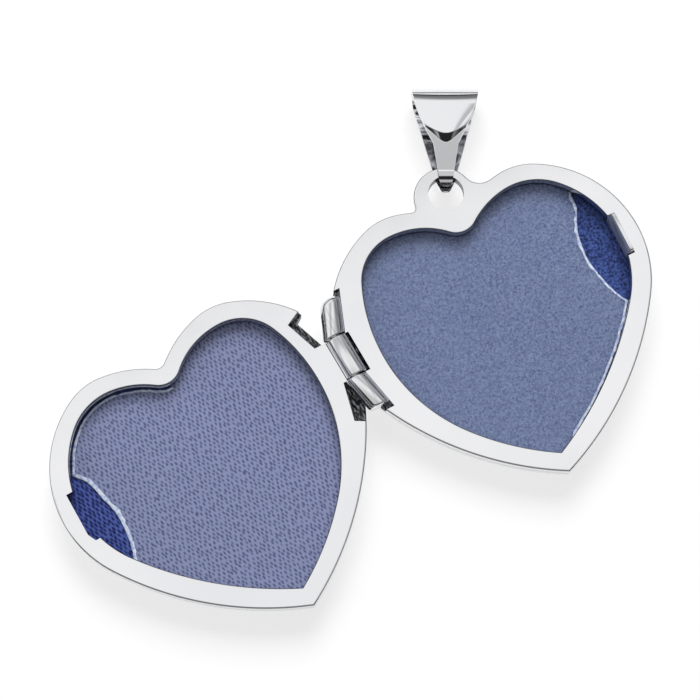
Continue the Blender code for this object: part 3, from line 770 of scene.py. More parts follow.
def new_object(name: str, shape: bmesh.types.BMesh,
               *materials: Material) -> Object:
    """Makes an object of a mesh.

    Args:
        name: Its name.
        shape: The mesh, which is used up.
        *materials: Its materials.

    Returns:
        The object.
    """
    bmesh.ops.recalc_face_normals(shape, faces=shape.faces)
    mesh = bpy.data.meshes.new(name)
    shape.to_mesh(mesh)
    shape.free()
    for finish in materials:
        mesh.materials.append(finish)
    made = bpy.data.objects.new(name, mesh)
    bpy.context.scene.collection.objects.link(made)
    return made


def prism(name: str, half: Half, outline: list[Point], low: float, high: float,
          finish: Material) -> Object:
    """An upright prism over an outline of heart-frame points."""
    rings = [[SHAPE.place(half, x, y, z) for x, y in outline] for z in (low, high)]
    return new_object(name, loft(rings), finish)


def circle(x: float, y: float, radius: float, sides: int = 96) -> list[Point]:
    """The points of a circle."""
    return [(x + radius * math.cos(2 * math.pi * i / sides),
             y + radius * math.sin(2 * math.pi * i / sides)) for i in range(sides)]


def ease(value: float, low: float, high: float) -> float:
    """0 below low, 1 above high and an even curve between them."""
    share = min(max((value - low) / (high - low), 0.0), 1.0)
    return share * share * (3 - 2 * share)


def finish_piece(piece: Object, node: str, cutters: list[Object],
                 edge_round: float = 0.0, smooth_angle: float = 35.0,
                 flat_plates: bool = False) -> None:
    """Cuts a piece, rounds its sharp edges, keeps that as its mesh and hands it over.

    Args:
        piece: The piece.
        node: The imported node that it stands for.
        cutters: What is cut out of it, used up here. Each cut keeps its cutter's finish.
        edge_round: Width of the rounding on sharp edges.
        smooth_angle: Edges flatter than this are shaded smooth, in degrees.
        flat_plates: Whether level faces keep one normal, so that they mirror evenly.
    """
    for cutter in cutters:
        cut = piece.modifiers.new(cutter.name, "BOOLEAN")
        cut.operation = "DIFFERENCE"
        cut.solver = "EXACT"
        cut.material_mode = "TRANSFER"
        cut.object = cutter
    if edge_round:
        rounding = piece.modifiers.new("Edge", "BEVEL")
        rounding.width = edge_round
        rounding.segments = 2
        rounding.limit_method = "ANGLE"
        rounding.angle_limit = SHARP_ANGLE
    bpy.context.view_layer.update()
    graph = bpy.context.evaluated_depsgraph_get()
    mesh = bpy.data.meshes.new_from_object(piece.evaluated_get(graph))
    piece.modifiers.clear()
    piece.data = mesh
    mesh.transform(Matrix.Translation((0.0, SHIFT_Y, 0.0)))
    mesh.shade_smooth()
    mesh.set_sharp_from_angle(angle=math.radians(smooth_angle))
    if flat_plates:
        for vertex in mesh.vertices:
            if abs(vertex.co.z - LEVELS.rim_top) < SAME_LEVEL:
                vertex.co.z = LEVELS.rim_top
        mesh.update()
        for face in mesh.polygons:
            face.use_smooth = abs(face.normal.z) < LEVEL_FACE
    for cutter in cutters:
        bpy.data.objects.remove(cutter)
    hand_over(piece, node)


def hand_over(piece: Object, node: str) -> None:
    """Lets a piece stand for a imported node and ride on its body.

    Args:
        piece: The finished piece.
        node: The node that it replaces.
    """
    record = frame["record"]
    body = next(name for name, nodes in record["behaviour"]["bodies"].items() if node in nodes)
    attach(piece, body)
    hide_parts(node)
    LOG.info("%s stands for %s and rides on %s", piece.name, node, body)


# --- The hinge ------------------------------------------------------------------------

@dataclass(frozen=True)
class Barrel:
    """One knuckle: a straight tube with a lean, so that the row follows the rim."""

    node: str
    half: Half
    top: float
    length: float
    lean: float
    offset: float
    top_round: float
    bottom_round: float

    @property
    def bottom(self) -> float:
        """Its lower end along the hinge."""
        return self.top - self.length

    def middle_x(self, y: float) -> float:
        """Where its middle line is, across from the hinge axis."""
        middle = (self.top + self.bottom) / 2
        return self.offset + (y - middle) * math.tan(math.radians(self.lean))


@dataclass(frozen=True)
class Hinge:
    """Three barrels on one pin, each soldered into its half and notched into the other."""

    radius: float = 0.70 * MM
    top: float = 2.81 * MM
    slit: float = 0.08 * MM
    lengths: tuple[float, float, float] = (2.40 * MM, 2.74 * MM, 2.42 * MM)
    leans: tuple[float, float, float] = (20.5, -2.4, -12.0)
    offsets: tuple[float, float, float] = (0.41 * MM, 0.08 * MM, 0.22 * MM)
    end_round: float = 0.42 * MM
    end_chamfer: float = 0.10 * MM
    pin_r: float = 0.30 * MM
    pin_clearance: float = 0.04 * MM
    pin_in_outer: float = 0.85 * MM
    notch_clearance: float = 0.22 * MM
    notch_depth_clearance: float = 0.07 * MM
    scoop: float = 0.60 * MM
    run_out: float = 0.65 * MM
    solder_gap: float = 0.30 * MM    # dark pit left at the outer ends of the row
    sides: int = 72
    end_steps: int = 7
    scoop_steps: int = 6

    def barrels(self) -> tuple[Barrel, Barrel, Barrel]:
        """The three barrels, from the ear's end down."""
        second = self.top - self.lengths[0] - self.slit
        third = second - self.lengths[1] - self.slit
        return (
            Barrel("hinge_knuckle_upper", Half.BACK, self.top, self.lengths[0], self.leans[0],
                   self.offsets[0], self.end_round, self.end_chamfer),
            Barrel("hinge_knuckle_middle", Half.FRONT, second, self.lengths[1], self.leans[1],
                   self.offsets[1], self.end_chamfer, self.end_chamfer),
            Barrel("hinge_knuckle_lower", Half.BACK, third, self.lengths[2], self.leans[2],
                   self.offsets[2], self.end_chamfer, self.end_round / 2))

    def pin_ends(self) -> Point:
        """The pin's two ends along the hinge."""
        upper, _, lower = self.barrels()
        return upper.bottom + self.pin_in_outer, lower.top - self.pin_in_outer

    def across(self, y: float, radius: float, x: float = 0.0, stretch: float = 1.0) -> Ring:
        """A circle across the hinge. Stretch keeps a leaning barrel round."""
        turns = [2 * math.pi * i / self.sides for i in range(self.sides)]
        return [Vector((x + stretch * radius * math.cos(turn), y,
                        LEVELS.hinge_axis + radius * math.sin(turn))) for turn in turns]

    def round_places(self, end: float, inward: int, rounding: float) -> list[Point]:
        """(place, share of the radius) down a barrel's rounded end.

        Args:
            end: The end's place along the hinge.
            inward: -1 at the top end and 1 at the bottom end.
            rounding: Length of the rounding.

        Returns:
            Pairs from the end inwards.
        """
        flat = 1 - rounding / self.radius
        return [(end + inward * rounding * (1 - math.cos(turn)),
                 flat + (1 - flat) * math.sin(turn)) for turn in quarter(self.end_steps)]

    def tube(self, barrel: Barrel, grow: float = 0.0, ends: Point | None = None) -> list[Ring]:
        """The rings of a barrel.

        Args:
            barrel: Which barrel.
            grow: How much larger it is all round, for a cutter.
            ends: How far a cutter reaches past the top and the bottom end.

        Returns:
            The rings from top to bottom.
        """
        stretch = 1 / math.cos(math.radians(barrel.lean))
        radius = self.radius + grow
        if ends:
            places = [(barrel.top + ends[0], 1.0), (barrel.bottom - ends[1], 1.0)]
        else:
            places = self.round_places(barrel.top, -1, barrel.top_round)
            places += self.round_places(barrel.bottom, 1, barrel.bottom_round)[::-1]
        return [self.across(y, radius * share, barrel.middle_x(y), stretch)
                for y, share in places]

    def seat_cutter(self, barrel: Barrel, finishes: Finishes) -> Object:
        """The seat for a barrel in its own rim, with a pit at the row's outer end."""
        pit = LEVELS.seat + self.solder_gap
        ends = (pit if barrel.node.endswith("upper") else LEVELS.seat,
                pit if barrel.node.endswith("lower") else LEVELS.seat)
        rings = self.tube(barrel, LEVELS.seat, ends)
        return new_object(barrel.node + "_seat", loft(rings), finishes.filed)

    def notch_cutter(self, barrel: Barrel, finishes: Finishes) -> Object:
        """The notch in the other half: scooped and right through for the upper barrel."""
        side = -barrel.half.value
        top, bottom = barrel.top + self.slit / 2, barrel.bottom - self.slit / 2
        reach = self.radius + self.notch_clearance
        floor = LEVELS.hinge_axis - self.radius - self.notch_depth_clearance
        roof = LEVELS.hinge_axis + self.radius
        upper_run = lower_run = 0.0
        levels = [(floor, 0.0), (roof, 0.0)]
        if barrel.half is Half.FRONT:
            levels[0] = (floor - max(abs(barrel.middle_x(y)) for y in (top, bottom)), 0.0)
        elif barrel.node.endswith("upper"):
            upper_run = self.run_out
            # A quarter-round scoop, as a ball burr leaves it.
            rise = LEVELS.rim_top - floor
            levels = [(-LEVELS.rim_thickness, 0.0)]
            levels += [(floor + rise * (1 - math.cos(turn)), self.scoop * math.sin(turn))
                       for turn in quarter(self.scoop_steps)] + [(roof, self.scoop)]
        else:
            lower_run = self.run_out
        rings = []
        for z, widen in levels:
            corner = top - upper_run / 2
            rings.append([
                Vector((side * (barrel.middle_x(corner) + reach + widen), corner, z)),
                Vector((side * (barrel.middle_x(bottom) + reach + widen), bottom, z)),
                Vector((-side * reach, bottom - 2 * lower_run, z)),
                Vector((-side * reach, top + 2 * upper_run, z))])
        return new_object(barrel.node + "_notch", loft(rings), finishes.filed)

    def build(self, finishes: Finishes) -> None:
        """Makes the three barrels, bored for the pin, and dresses the pin."""
        top, bottom = self.pin_ends()
        for barrel in self.barrels():
            bore = new_object("bore", loft([
                self.across(y, self.pin_r + self.pin_clearance)
                for y in (top + self.pin_clearance, bottom - self.pin_clearance)]),
                finishes.filed)
            piece = new_object(barrel.node + "_tube", loft(self.tube(barrel)), finishes.tube)
            finish_piece(piece, barrel.node, [bore])
        pin = frame["nodes"]["hinge_pin"].data
        pin.materials.clear()
        pin.materials.append(finishes.tube)


# --- The catch ------------------------------------------------------------------------

@dataclass(frozen=True)
class Catch:
    """A snap tab that stands in a slot of the back rim and enters a notch in the front."""

    y: float = -1.33 * MM
    length: float = 2.8 * MM
    foot: float = 0.43 * MM
    slope: float = 0.22 * MM
    rise: float = 0.50 * MM
    corner: float = 0.22 * MM
    clearance: float = 0.05 * MM
    notch_extra: float = 0.55 * MM
    solder_gap: float = 0.07 * MM    # dark line round the tab's foot
    edge_round: float = 0.05 * MM
    corner_steps: int = 8

    def place(self, along: float, out: float, z: float, half: Half) -> Vector:
        """A point measured from the middle of the window edge's chord under the tab."""
        ends = [Vector((SHAPE.window_edge(y), y)) for y in
                (self.y + self.length / 2, self.y - self.length / 2)]
        direction = (ends[0] - ends[1]).normalized()
        outward = Vector((direction.y, -direction.x))
        spot = (ends[0] + ends[1]) / 2 + direction * along + outward * out
        return SHAPE.place(half, spot.x, spot.y, z)

    def cutter(self, half: Half, finishes: Finishes) -> Object:
        """The tab's slot in the back rim, or its longer notch in the front rim."""
        back = half is Half.BACK
        clearance, extra = (self.solder_gap, 0.0) if back else (self.clearance,
                                                                self.notch_extra)
        top, bottom = self.length / 2 + clearance, -self.length / 2 - clearance - extra
        wall = self.foot + clearance
        far = ((bottom, wall),) if back else ((bottom + extra, wall),
                                              (bottom, wall - extra / 2))
        outline = ((top, -self.foot), (top, wall), *far, (bottom, -self.foot))
        rings = [[self.place(along, out, z, half) for along, out in outline]
                 for z in (LEVELS.shell_top - LEVELS.rim_thickness,
                           LEVELS.rim_top + LEVELS.rim_thickness)]
        return new_object("catch_cut", loft(rings), finishes.filed)

    def build(self, finishes: Finishes) -> None:
        """Makes the tab, its inner face leaning out and its top corners rounded."""
        low = LEVELS.rim_bottom + LEVELS.seat
        rings = []
        for side in (-1, 1):
            for turn in quarter(self.corner_steps)[::-side]:
                along = side * (self.length / 2 - self.corner * (1 - math.cos(turn)))
                high = LEVELS.rim_top + self.rise - self.corner * (1 - math.sin(turn))
                section = ((0.0, low), (0.0, LEVELS.rim_top), (self.slope, high),
                           (self.foot, high), (self.foot, low))
                rings.append([self.place(along, out, z, Half.BACK) for out, z in section])
        shape = loft(rings)
        shape.faces.index_update()
        for face in shape.faces:
            # The inner face, the first two of each ring's five, takes a darker rhodium: painted
            # shade.
            face.material_index = int(len(face.verts) == 4 and face.index % 5 < 2)
        piece = new_object("catch_tab_bright", shape, finishes.tube, finishes.tab_inner_shade)
        finish_piece(piece, "catch_tab", [], self.edge_round, smooth_angle=40.0)


# --- Each half ------------------------------------------------------------------------

@dataclass(frozen=True)
class HalfLocket:
    """A rim, its domed shell, the cloth card in it and the film over the card."""

    half: Half
    cloth_name: str
    snips: tuple[Point, ...]         # scissor cuts of the film's bite, in millimetres
    short: Point                     # heart-frame Y, in millimetres, where the film is short
    shortfall: float                 # gap beside the window's wall where the film is short
    cut_slant: float                 # how far the film's cut edge slants
    rim_bevel: float = 0.10 * MM
    window_bevel: float = 0.08 * MM
    # Height of the wall's foot that gets painted shade.
    painted_shade_foot: float = 0.30 * MM
    side_height: float = 0.40 * MM
    floor_thickness: float = 0.35 * MM
    cavity_lap: float = 0.55 * MM
    crown_share: float = 0.30
    play: float = 0.06 * MM
    border_slant: float = 0.17 * MM  # and its trimmed border under the window's wall
    border_foot: float = 0.02 * MM
    border_run: float = 0.6          # millimetres in which the short border begins and ends
    raggedness: float = 0.06 * MM
    tear: float = 0.35 * MM          # length of the border's rags
    cut_tear: float = 0.30 * MM      # and of the cut's
    cut_wave: float = 0.5 * MM       # length of the cut's wider and narrower stretches
    turned_edge: float = 0.05 * MM   # roundness of the cloth where it goes over the card
    cloth_hollow: float = 0.012 * MM
    cloth_wave: float = 0.9 * MM
    rim_edge_round: float = 0.025 * MM
    shell_edge_round: float = 0.03 * MM
    bevel_steps: int = 4
    dome_steps: int = 28
    cloth_rings: int = 26

    @property
    def prefix(self) -> str:
        """The half's part of its nodes' names."""
        return self.half.name.lower()

    def rim(self, finishes: Finishes, hinge: Hinge, catch: Catch) -> None:
        """Makes the rim ring with its round bevels, notches and, on the back, the ear."""
        outer = Line.EAR if self.half is Half.BACK else Line.OUTLINE
        turns = quarter(self.bevel_steps)
        top = LEVELS.rim_top
        rings = [SHAPE.ring(self.half, LEVELS.rim_bottom, outer)]
        rings += [SHAPE.ring(self.half, top - self.rim_bevel * (1 - math.sin(turn)), outer,
                             self.rim_bevel * (1 - math.cos(turn))) for turn in turns]
        rings += [SHAPE.ring(self.half, top - self.window_bevel * (1 - math.cos(turn)),
                             Line.WINDOW, self.window_bevel * (math.sin(turn) - 1))
                  for turn in turns]
        foot = LEVELS.rim_bottom + self.painted_shade_foot
        rings.append(SHAPE.ring(self.half, foot, Line.WINDOW))
        rings.append(SHAPE.ring(self.half, LEVELS.rim_bottom, Line.WINDOW))
        shape = loft(rings, True)
        shape.faces.index_update()
        around = len(rings[0])
        # The bevels' lower parts and the foot of the wall get the dark edge finish: painted shade
        # that draws thin dark outlines.
        painted_shade_strips = {1, 2, len(rings) - 2} | set(range(len(rings) - 6, len(rings) - 3))
        for face in shape.faces:
            face.material_index = int(face.index // around in painted_shade_strips)
        # The two level plates are filled anew, since their quads fold over near the hinge.
        levels = [[face for face in shape.faces if face.index // around == pair]
                  for pair in (self.bevel_steps + 1, len(rings) - 1)]
        for plate in levels:
            border = [edge for face in plate for edge in face.edges
                      if any(other not in plate for other in edge.link_faces)]
            bmesh.ops.delete(shape, geom=plate, context="FACES")
            bmesh.ops.triangle_fill(shape, edges=border, use_beauty=True,
                                    normal=(0.0, 0.0, 1.0))
        piece = new_object(self.prefix + "_rim_polished", shape, finishes.rhodium,
                           finishes.edge)
        cutters = [catch.cutter(self.half, finishes)]
        for barrel in hinge.barrels():
            maker = hinge.seat_cutter if barrel.half is self.half else hinge.notch_cutter
            cutters.append(maker(barrel, finishes))
        if self.half is Half.BACK:
            ear = SHAPE.ear
            # The ear hole's wall takes the dark edge finish: a ring of painted shade.
            cutters.append(prism("ear_hole", self.half,
                                 circle(ear.hole_x, ear.hole_y, ear.hole_r), 0.0,
                                 2 * top, finishes.edge))
        finish_piece(piece, self.prefix + "_frame", cutters, self.rim_edge_round,
                     flat_plates=True)

    def shell(self, finishes: Finishes, hinge: Hinge) -> None:
        """Makes the domed back with its ledge, and the front's notch for the barrel."""
        rings = [SHAPE.ring(self.half, LEVELS.ledge, Line.WINDOW, -self.cavity_lap),
                 SHAPE.ring(self.half, LEVELS.shell_top, Line.WINDOW, -self.cavity_lap),
                 SHAPE.ring(self.half, LEVELS.shell_top, Line.OUTLINE)]
        side_z = LEVELS.shell_top - self.side_height
        turns = quarter(self.dome_steps)
        shrink = 1 - self.crown_share
        for turn in turns:
            rings.append(SHAPE.ring(self.half, side_z * (1 - math.sin(turn)), Line.OUTLINE,
                                    0.0, self.crown_share + shrink * math.cos(turn)))
        rise = side_z - self.floor_thickness
        ledge_turn = math.asin(1 - (LEVELS.ledge - self.floor_thickness) / rise)
        inner = [SHAPE.ring(self.half, self.floor_thickness + rise * (1 - math.sin(turn)),
                            Line.WINDOW, 0.0, self.crown_share + shrink * math.cos(turn))
                 for turn in turns if turn > ledge_turn]
        piece = new_object(self.prefix + "_dome", loft(inner[::-1] + rings), finishes.rhodium)
        cutters = []
        if self.half is Half.FRONT:
            cutters.append(hinge.notch_cutter(hinge.barrels()[0], finishes))
        finish_piece(piece, self.prefix + "_shell", cutters, self.shell_edge_round,
                     smooth_angle=40.0)

    def card(self, cloth: Material) -> None:
        """Makes the cloth-covered card: a softly uneven face with turned-down edges."""
        lap = self.play - self.cavity_lap
        low = LEVELS.card_top - LEVELS.card_thickness
        soft = self.turned_edge
        rings = [SHAPE.ring(self.half, low, Line.WINDOW, lap),
                 SHAPE.ring(self.half, LEVELS.card_top - soft, Line.WINDOW, lap)]
        for step in range(self.cloth_rings):
            scale = 1 - step / self.cloth_rings
            drop = soft * max(0.0, 1 - 8 * (1 - scale)) * 0.3
            ring = SHAPE.ring(self.half, LEVELS.card_top - drop, Line.WINDOW,
                              lap + (soft if step == 0 else 0.0), scale)
            for point in ring:
                point.z -= self.cloth_hollow * (1 + noise.noise(point / self.cloth_wave))
            rings.append(ring)
        piece = new_object(self.prefix + "_" + self.cloth_name, loft(rings), cloth)
        finish_piece(piece, self.prefix + "_insert", [], smooth_angle=50.0)

    def film_ring(self, z: float, slant: float) -> Ring:
        """The film's border at one height: under the rim, or short of it where it is short.

        Args:
            z: The height.
            slant: How far in the border has moved at this height.

        Returns:
            The border's points.
        """
        hidden = SHAPE.ring(self.half, z, Line.WINDOW, self.play - self.cavity_lap)
        shown = SHAPE.ring(self.half, z, Line.WINDOW, self.shortfall + slant)
        count = len(SHAPE.stations(Line.WINDOW, 1))
        ring = []
        for i, (out, inner) in enumerate(zip(hidden, shown)):
            y = inner.y / MM
            low, high = self.short
            share = (ease(y, low, low + self.border_run)
                     * (1 - ease(y, high - self.border_run, high)))
            if i >= count or share == 0.0:
                ring.append(out)
                continue
            rough = noise.noise(inner / self.tear) * self.raggedness * share
            point = out.lerp(inner, share)
            ring.append(point + (out - inner).normalized() * rough)
        return ring

    def bite_line(self) -> list[Point]:
        """The cut as a smooth line through the snips, closed outside the window."""
        spots = [Vector((x * MM, y * MM)) for x, y in self.snips]
        line = []
        for i in range(len(spots) - 1):
            before, here = spots[max(i - 1, 0)], spots[i]
            there, after = spots[i + 1], spots[min(i + 2, len(spots) - 1)]
            for step in range(24):
                t = step / 24
                line.append(0.5 * ((2 * here) + (there - before) * t
                                   + (2 * before - 5 * here + 4 * there - after) * t ** 2
                                   + (3 * here - before - 3 * there + after) * t ** 3))
        return line + [spots[-1]]

    def film(self, finishes: Finishes) -> None:
        """Makes the film with its bite, snipped by hand into a ragged slanting edge."""
        low = LEVELS.card_top + LEVELS.seat
        high = low + LEVELS.film_thickness
        shape = loft([self.film_ring(low, 0.0),
                      self.film_ring(low + 0.85 * LEVELS.film_thickness, self.border_foot),
                      self.film_ring(high, self.border_slant)])
        sheet = finishes.film if self.half is Half.BACK else finishes.twill_film
        shape.normal_update()
        # The border's side faces take the cut edge's painted highlight.
        for face in shape.faces:
            face.material_index = int(len(face.verts) == 4)
        piece = new_object(self.prefix + "_film_sheet", shape, sheet, finishes.film_edge)
        line = self.bite_line()
        beyond = 4 * MM
        rings = []
        # The blade left a steep foot and crushed the upper edge nearly flat.
        for z, slant in ((low - LEVELS.film_thickness, 0.0), (low, 0.0),
                         (low + 0.55 * LEVELS.film_thickness, 0.12), (high, 1.0),
                         (high + LEVELS.film_thickness, 1.0)):
            ring = []
            for spot in line:
                rough = noise.noise(Vector((*spot, slant * MM)) / self.cut_tear)
                width = slant * self.cut_slant * (0.9 + 0.4 * noise.noise(
                    Vector((*spot, 3 * MM)) / self.cut_wave))
                ring.append(SHAPE.place(self.half, spot.x + rough * self.raggedness / 2 - width,
                                        spot.y, z))
            ring += [SHAPE.place(self.half, spot.x + beyond, spot.y, z)
                     for spot in (line[-1], line[0])]
            rings.append(ring)
        # The bite's faces take the cut edge's painted highlight.
        cutter = new_object("bite", loft(rings), finishes.film_edge)
        finish_piece(piece, self.prefix + "_film", [cutter], smooth_angle=30.0)

    def build(self, finishes: Finishes, hinge: Hinge, catch: Catch) -> None:
        """Makes and dresses the four pieces."""
        self.rim(finishes, hinge, catch)
        self.shell(finishes, hinge)
        self.card(finishes.felt if self.half is Half.BACK else finishes.twill)
        self.film(finishes)


# --- The bail -------------------------------------------------------------------------

Station = tuple[float, float, float]     # along, up, heading


@dataclass(frozen=True)
class Bail:
    """A tapered strip bent round at its wide end, its tips closed through the ear."""

    sway: float = 22.7               # degrees that it points aside of the ear
    thickness: float = 0.25 * MM
    reach: float = 5.92 * MM
    top_width: float = 4.4 * MM
    crease_width: float = 1.64 * MM
    front_ring_width: float = 1.10 * MM
    rear_ring_width: float = 1.35 * MM
    wrap_clearance: float = 0.05 * MM
    front_slope: float = 8.0
    rear_slope: float = 4.0
    crease: float = 1.68 * MM        # from the ear's band to the shield's step
    crease_bow: float = 1.07 * MM    # how much further out the step is at its sides
    step_length: float = 0.54 * MM
    step_edge_length: float = 0.15 * MM
    dome: float = 0.34 * MM
    dome_sides: float = 0.75
    dome_end: float = 5.1 * MM
    tongue: float = 0.80 * MM
    tongue_angle: float = 225.0
    tip_angle: float = 170.0
    tip_square: float = 0.4
    floor_gap: float = 0.03 * MM
    groove_at: float = 5.08 * MM     # fine line between the shield and the round end
    groove_depth: float = 0.035 * MM
    groove_width: float = 0.035 * MM
    edge_round: float = 0.03 * MM
    bend_step: float = 1.5
    front_steps: int = 170
    rear_steps: int = 24
    tongue_steps: int = 8
    across_steps: int = 56

    def place(self) -> tuple[Vector, Vector, Vector, float]:
        """The swing axis point, outward and sideways directions, and the ear's band."""
        ear = SHAPE.ear
        ux, uy = math.sin(math.radians(self.sway)), math.cos(math.radians(self.sway))
        dx, dy = ear.hole_x - ear.x, ear.hole_y - ear.y
        along = dx * ux + dy * uy
        outer = -along + math.sqrt(along ** 2 - dx ** 2 - dy ** 2 + ear.radius ** 2)
        reach = (ear.hole_r + outer) / 2
        level = LEVELS.rim_bottom + LEVELS.rim_thickness / 2
        spots = [SHAPE.place(Half.BACK, ear.hole_x + ux * r, ear.hole_y + uy * r, level)
                 for r in (reach, 2 * reach)]
        out = (spots[1] - spots[0]).normalized()
        return spots[0], out, Vector((out.y, -out.x, 0.0)), outer - ear.hole_r

    def bend(self, path: list[Station], radius: float, turn: float) -> None:
        """Adds an arc that turns right to a path."""
        x, z, heading = path[-1]
        steps = math.ceil(math.degrees(turn) / self.bend_step)
        for step in range(1, steps + 1):
            angle = heading - turn * step / steps
            path.append((x + radius * (math.sin(heading) - math.sin(angle)),
                         z + radius * (math.cos(angle) - math.cos(heading)), angle))

    def straight(self, path: list[Station], length: float, steps: int) -> None:
        """Adds a straight stretch to a path."""
        x, z, heading = path[-1]
        for step in range(1, steps + 1):
            run = length * step / steps
            path.append((x + run * math.cos(heading), z + run * math.sin(heading), heading))

    def loop(self, wrap: float) -> tuple[list[Station], float, float, float]:
        """The strip's middle line.

        Args:
            wrap: Radius of the turn round the ear's band.

        Returns:
            The line, and the round end's distance, radius and direction.
        """
        front, rear = math.radians(self.front_slope), math.radians(self.rear_slope)
        middle, spread = (front - rear) / 2, (front + rear) / 2
        distance = (self.reach - self.thickness / 2 - wrap) / (math.cos(middle) + math.sin(spread))
        end_r = wrap + distance * math.sin(spread)
        leaf = distance * math.cos(spread)
        tip = math.radians(self.tip_angle)
        path = [(wrap * math.cos(tip), wrap * math.sin(tip), tip - math.pi / 2)]
        self.bend(path, wrap, path[0][2] - front)
        self.straight(path, leaf, self.front_steps)
        self.bend(path, end_r, math.pi + front + rear)
        self.straight(path, leaf, self.rear_steps)
        turned = math.radians(self.tongue_angle) - 5 * math.pi / 2
        self.bend(path, wrap, path[-1][2] - turned)
        self.straight(path, self.tongue, self.tongue_steps)
        return path, distance, end_r, middle

    def width(self, along: float, front: bool) -> float:
        """The strip's width: one taper at the rear, a narrow taper and a shield in front."""
        if not front:
            return self.rear_ring_width + ((self.top_width - self.rear_ring_width)
                                           * min(along / self.reach, 1.0))
        taper = self.crease_width - self.front_ring_width
        share = min(max((along - self.crease) / (self.reach - self.crease), 0.0), 1.0)
        return (self.front_ring_width + taper * min(along / self.crease, 1.0)
                + (self.top_width - self.crease_width) * math.sin(math.pi / 2 * share))

    def relief(self, along: float, share: float) -> float:
        """The shield's steep step, its even fall and the fine groove at its wide end."""
        start = self.crease + self.crease_bow * share ** 2
        length = self.step_length + (self.step_edge_length - self.step_length) * share ** 2
        top = start + length
        step = min(max((along - start) / length, 0.0), 1.0)
        fall = min(max((along - top) / (self.dome_end - top), 0.0), 1.0)
        dome = self.dome * step * (1 - fall) * (1 - self.dome_sides * share ** 2)
        groove = math.exp(-((along - self.groove_at) / self.groove_width) ** 2)
        return dome - self.groove_depth * groove

    def tip_share(self, run: float) -> float:
        """How much of its width the strip has at this length from a tip."""
        reach = self.front_ring_width / 2
        return math.sqrt(max(1 - (1 - min(run / reach, 1.0)) ** 2, self.tip_square ** 2))

    def sheets(self) -> tuple[list[Ring], list[Ring]]:
        """The outer and the inner face as rows of points."""
        point, out, across, band = self.place()
        ear, half_width = SHAPE.ear, self.rear_ring_width / 2
        sag = ear.hole_r - math.sqrt(ear.hole_r ** 2 - half_width ** 2)
        wrap = (math.hypot(band / 2 + sag, LEVELS.rim_thickness / 2) + self.wrap_clearance
                + self.thickness / 2)
        path, distance, end_r, middle = self.loop(wrap)
        drop = (end_r + self.thickness / 2 + self.floor_gap - point.z) / distance
        turn = Matrix.Rotation(math.asin(drop) - middle, 3, across)
        runs = [0.0]
        for here, there in zip(path, path[1:]):
            runs.append(runs[-1] + math.hypot(there[0] - here[0], there[1] - here[1]))
        faces: tuple[list[Ring], list[Ring]] = ([], [])
        for (along, up, heading), run in zip(path, runs):
            front = heading > -math.pi / 2
            width = self.width(along, front) * self.tip_share(min(run, runs[-1] - run))
            for face, offset in zip(faces, (self.thickness / 2, -self.thickness / 2)):
                row = []
                for step in range(self.across_steps + 1):
                    share = 2 * step / self.across_steps - 1
                    lift = offset + (self.relief(along, share) if front else 0.0)
                    spot = (out * (along - math.sin(heading) * lift)
                            + across * (share * width / 2)
                            + Vector((0, 0, up + math.cos(heading) * lift)))
                    row.append(point + turn @ spot)
                face.append(row)
        return faces

    def build(self, finishes: Finishes) -> None:
        """Makes the strip from its two faces and rounds its edges."""
        outer, inner = self.sheets()
        made = bmesh.new()
        rows = [[[made.verts.new(point) for point in row] for row in face]
                for face in (outer, inner)]
        upper, lower = rows
        for face in rows:
            for here, there in zip(face, face[1:]):
                join(made, here, there)
        for end in (0, -1):
            join(made, [row[end] for row in upper], [row[end] for row in lower])
            join(made, upper[end], lower[end])
        piece = new_object("bail_strip", made, finishes.rhodium)
        finish_piece(piece, "bail", [], self.edge_round, smooth_angle=50.0)


# --- The studio -----------------------------------------------------------------------

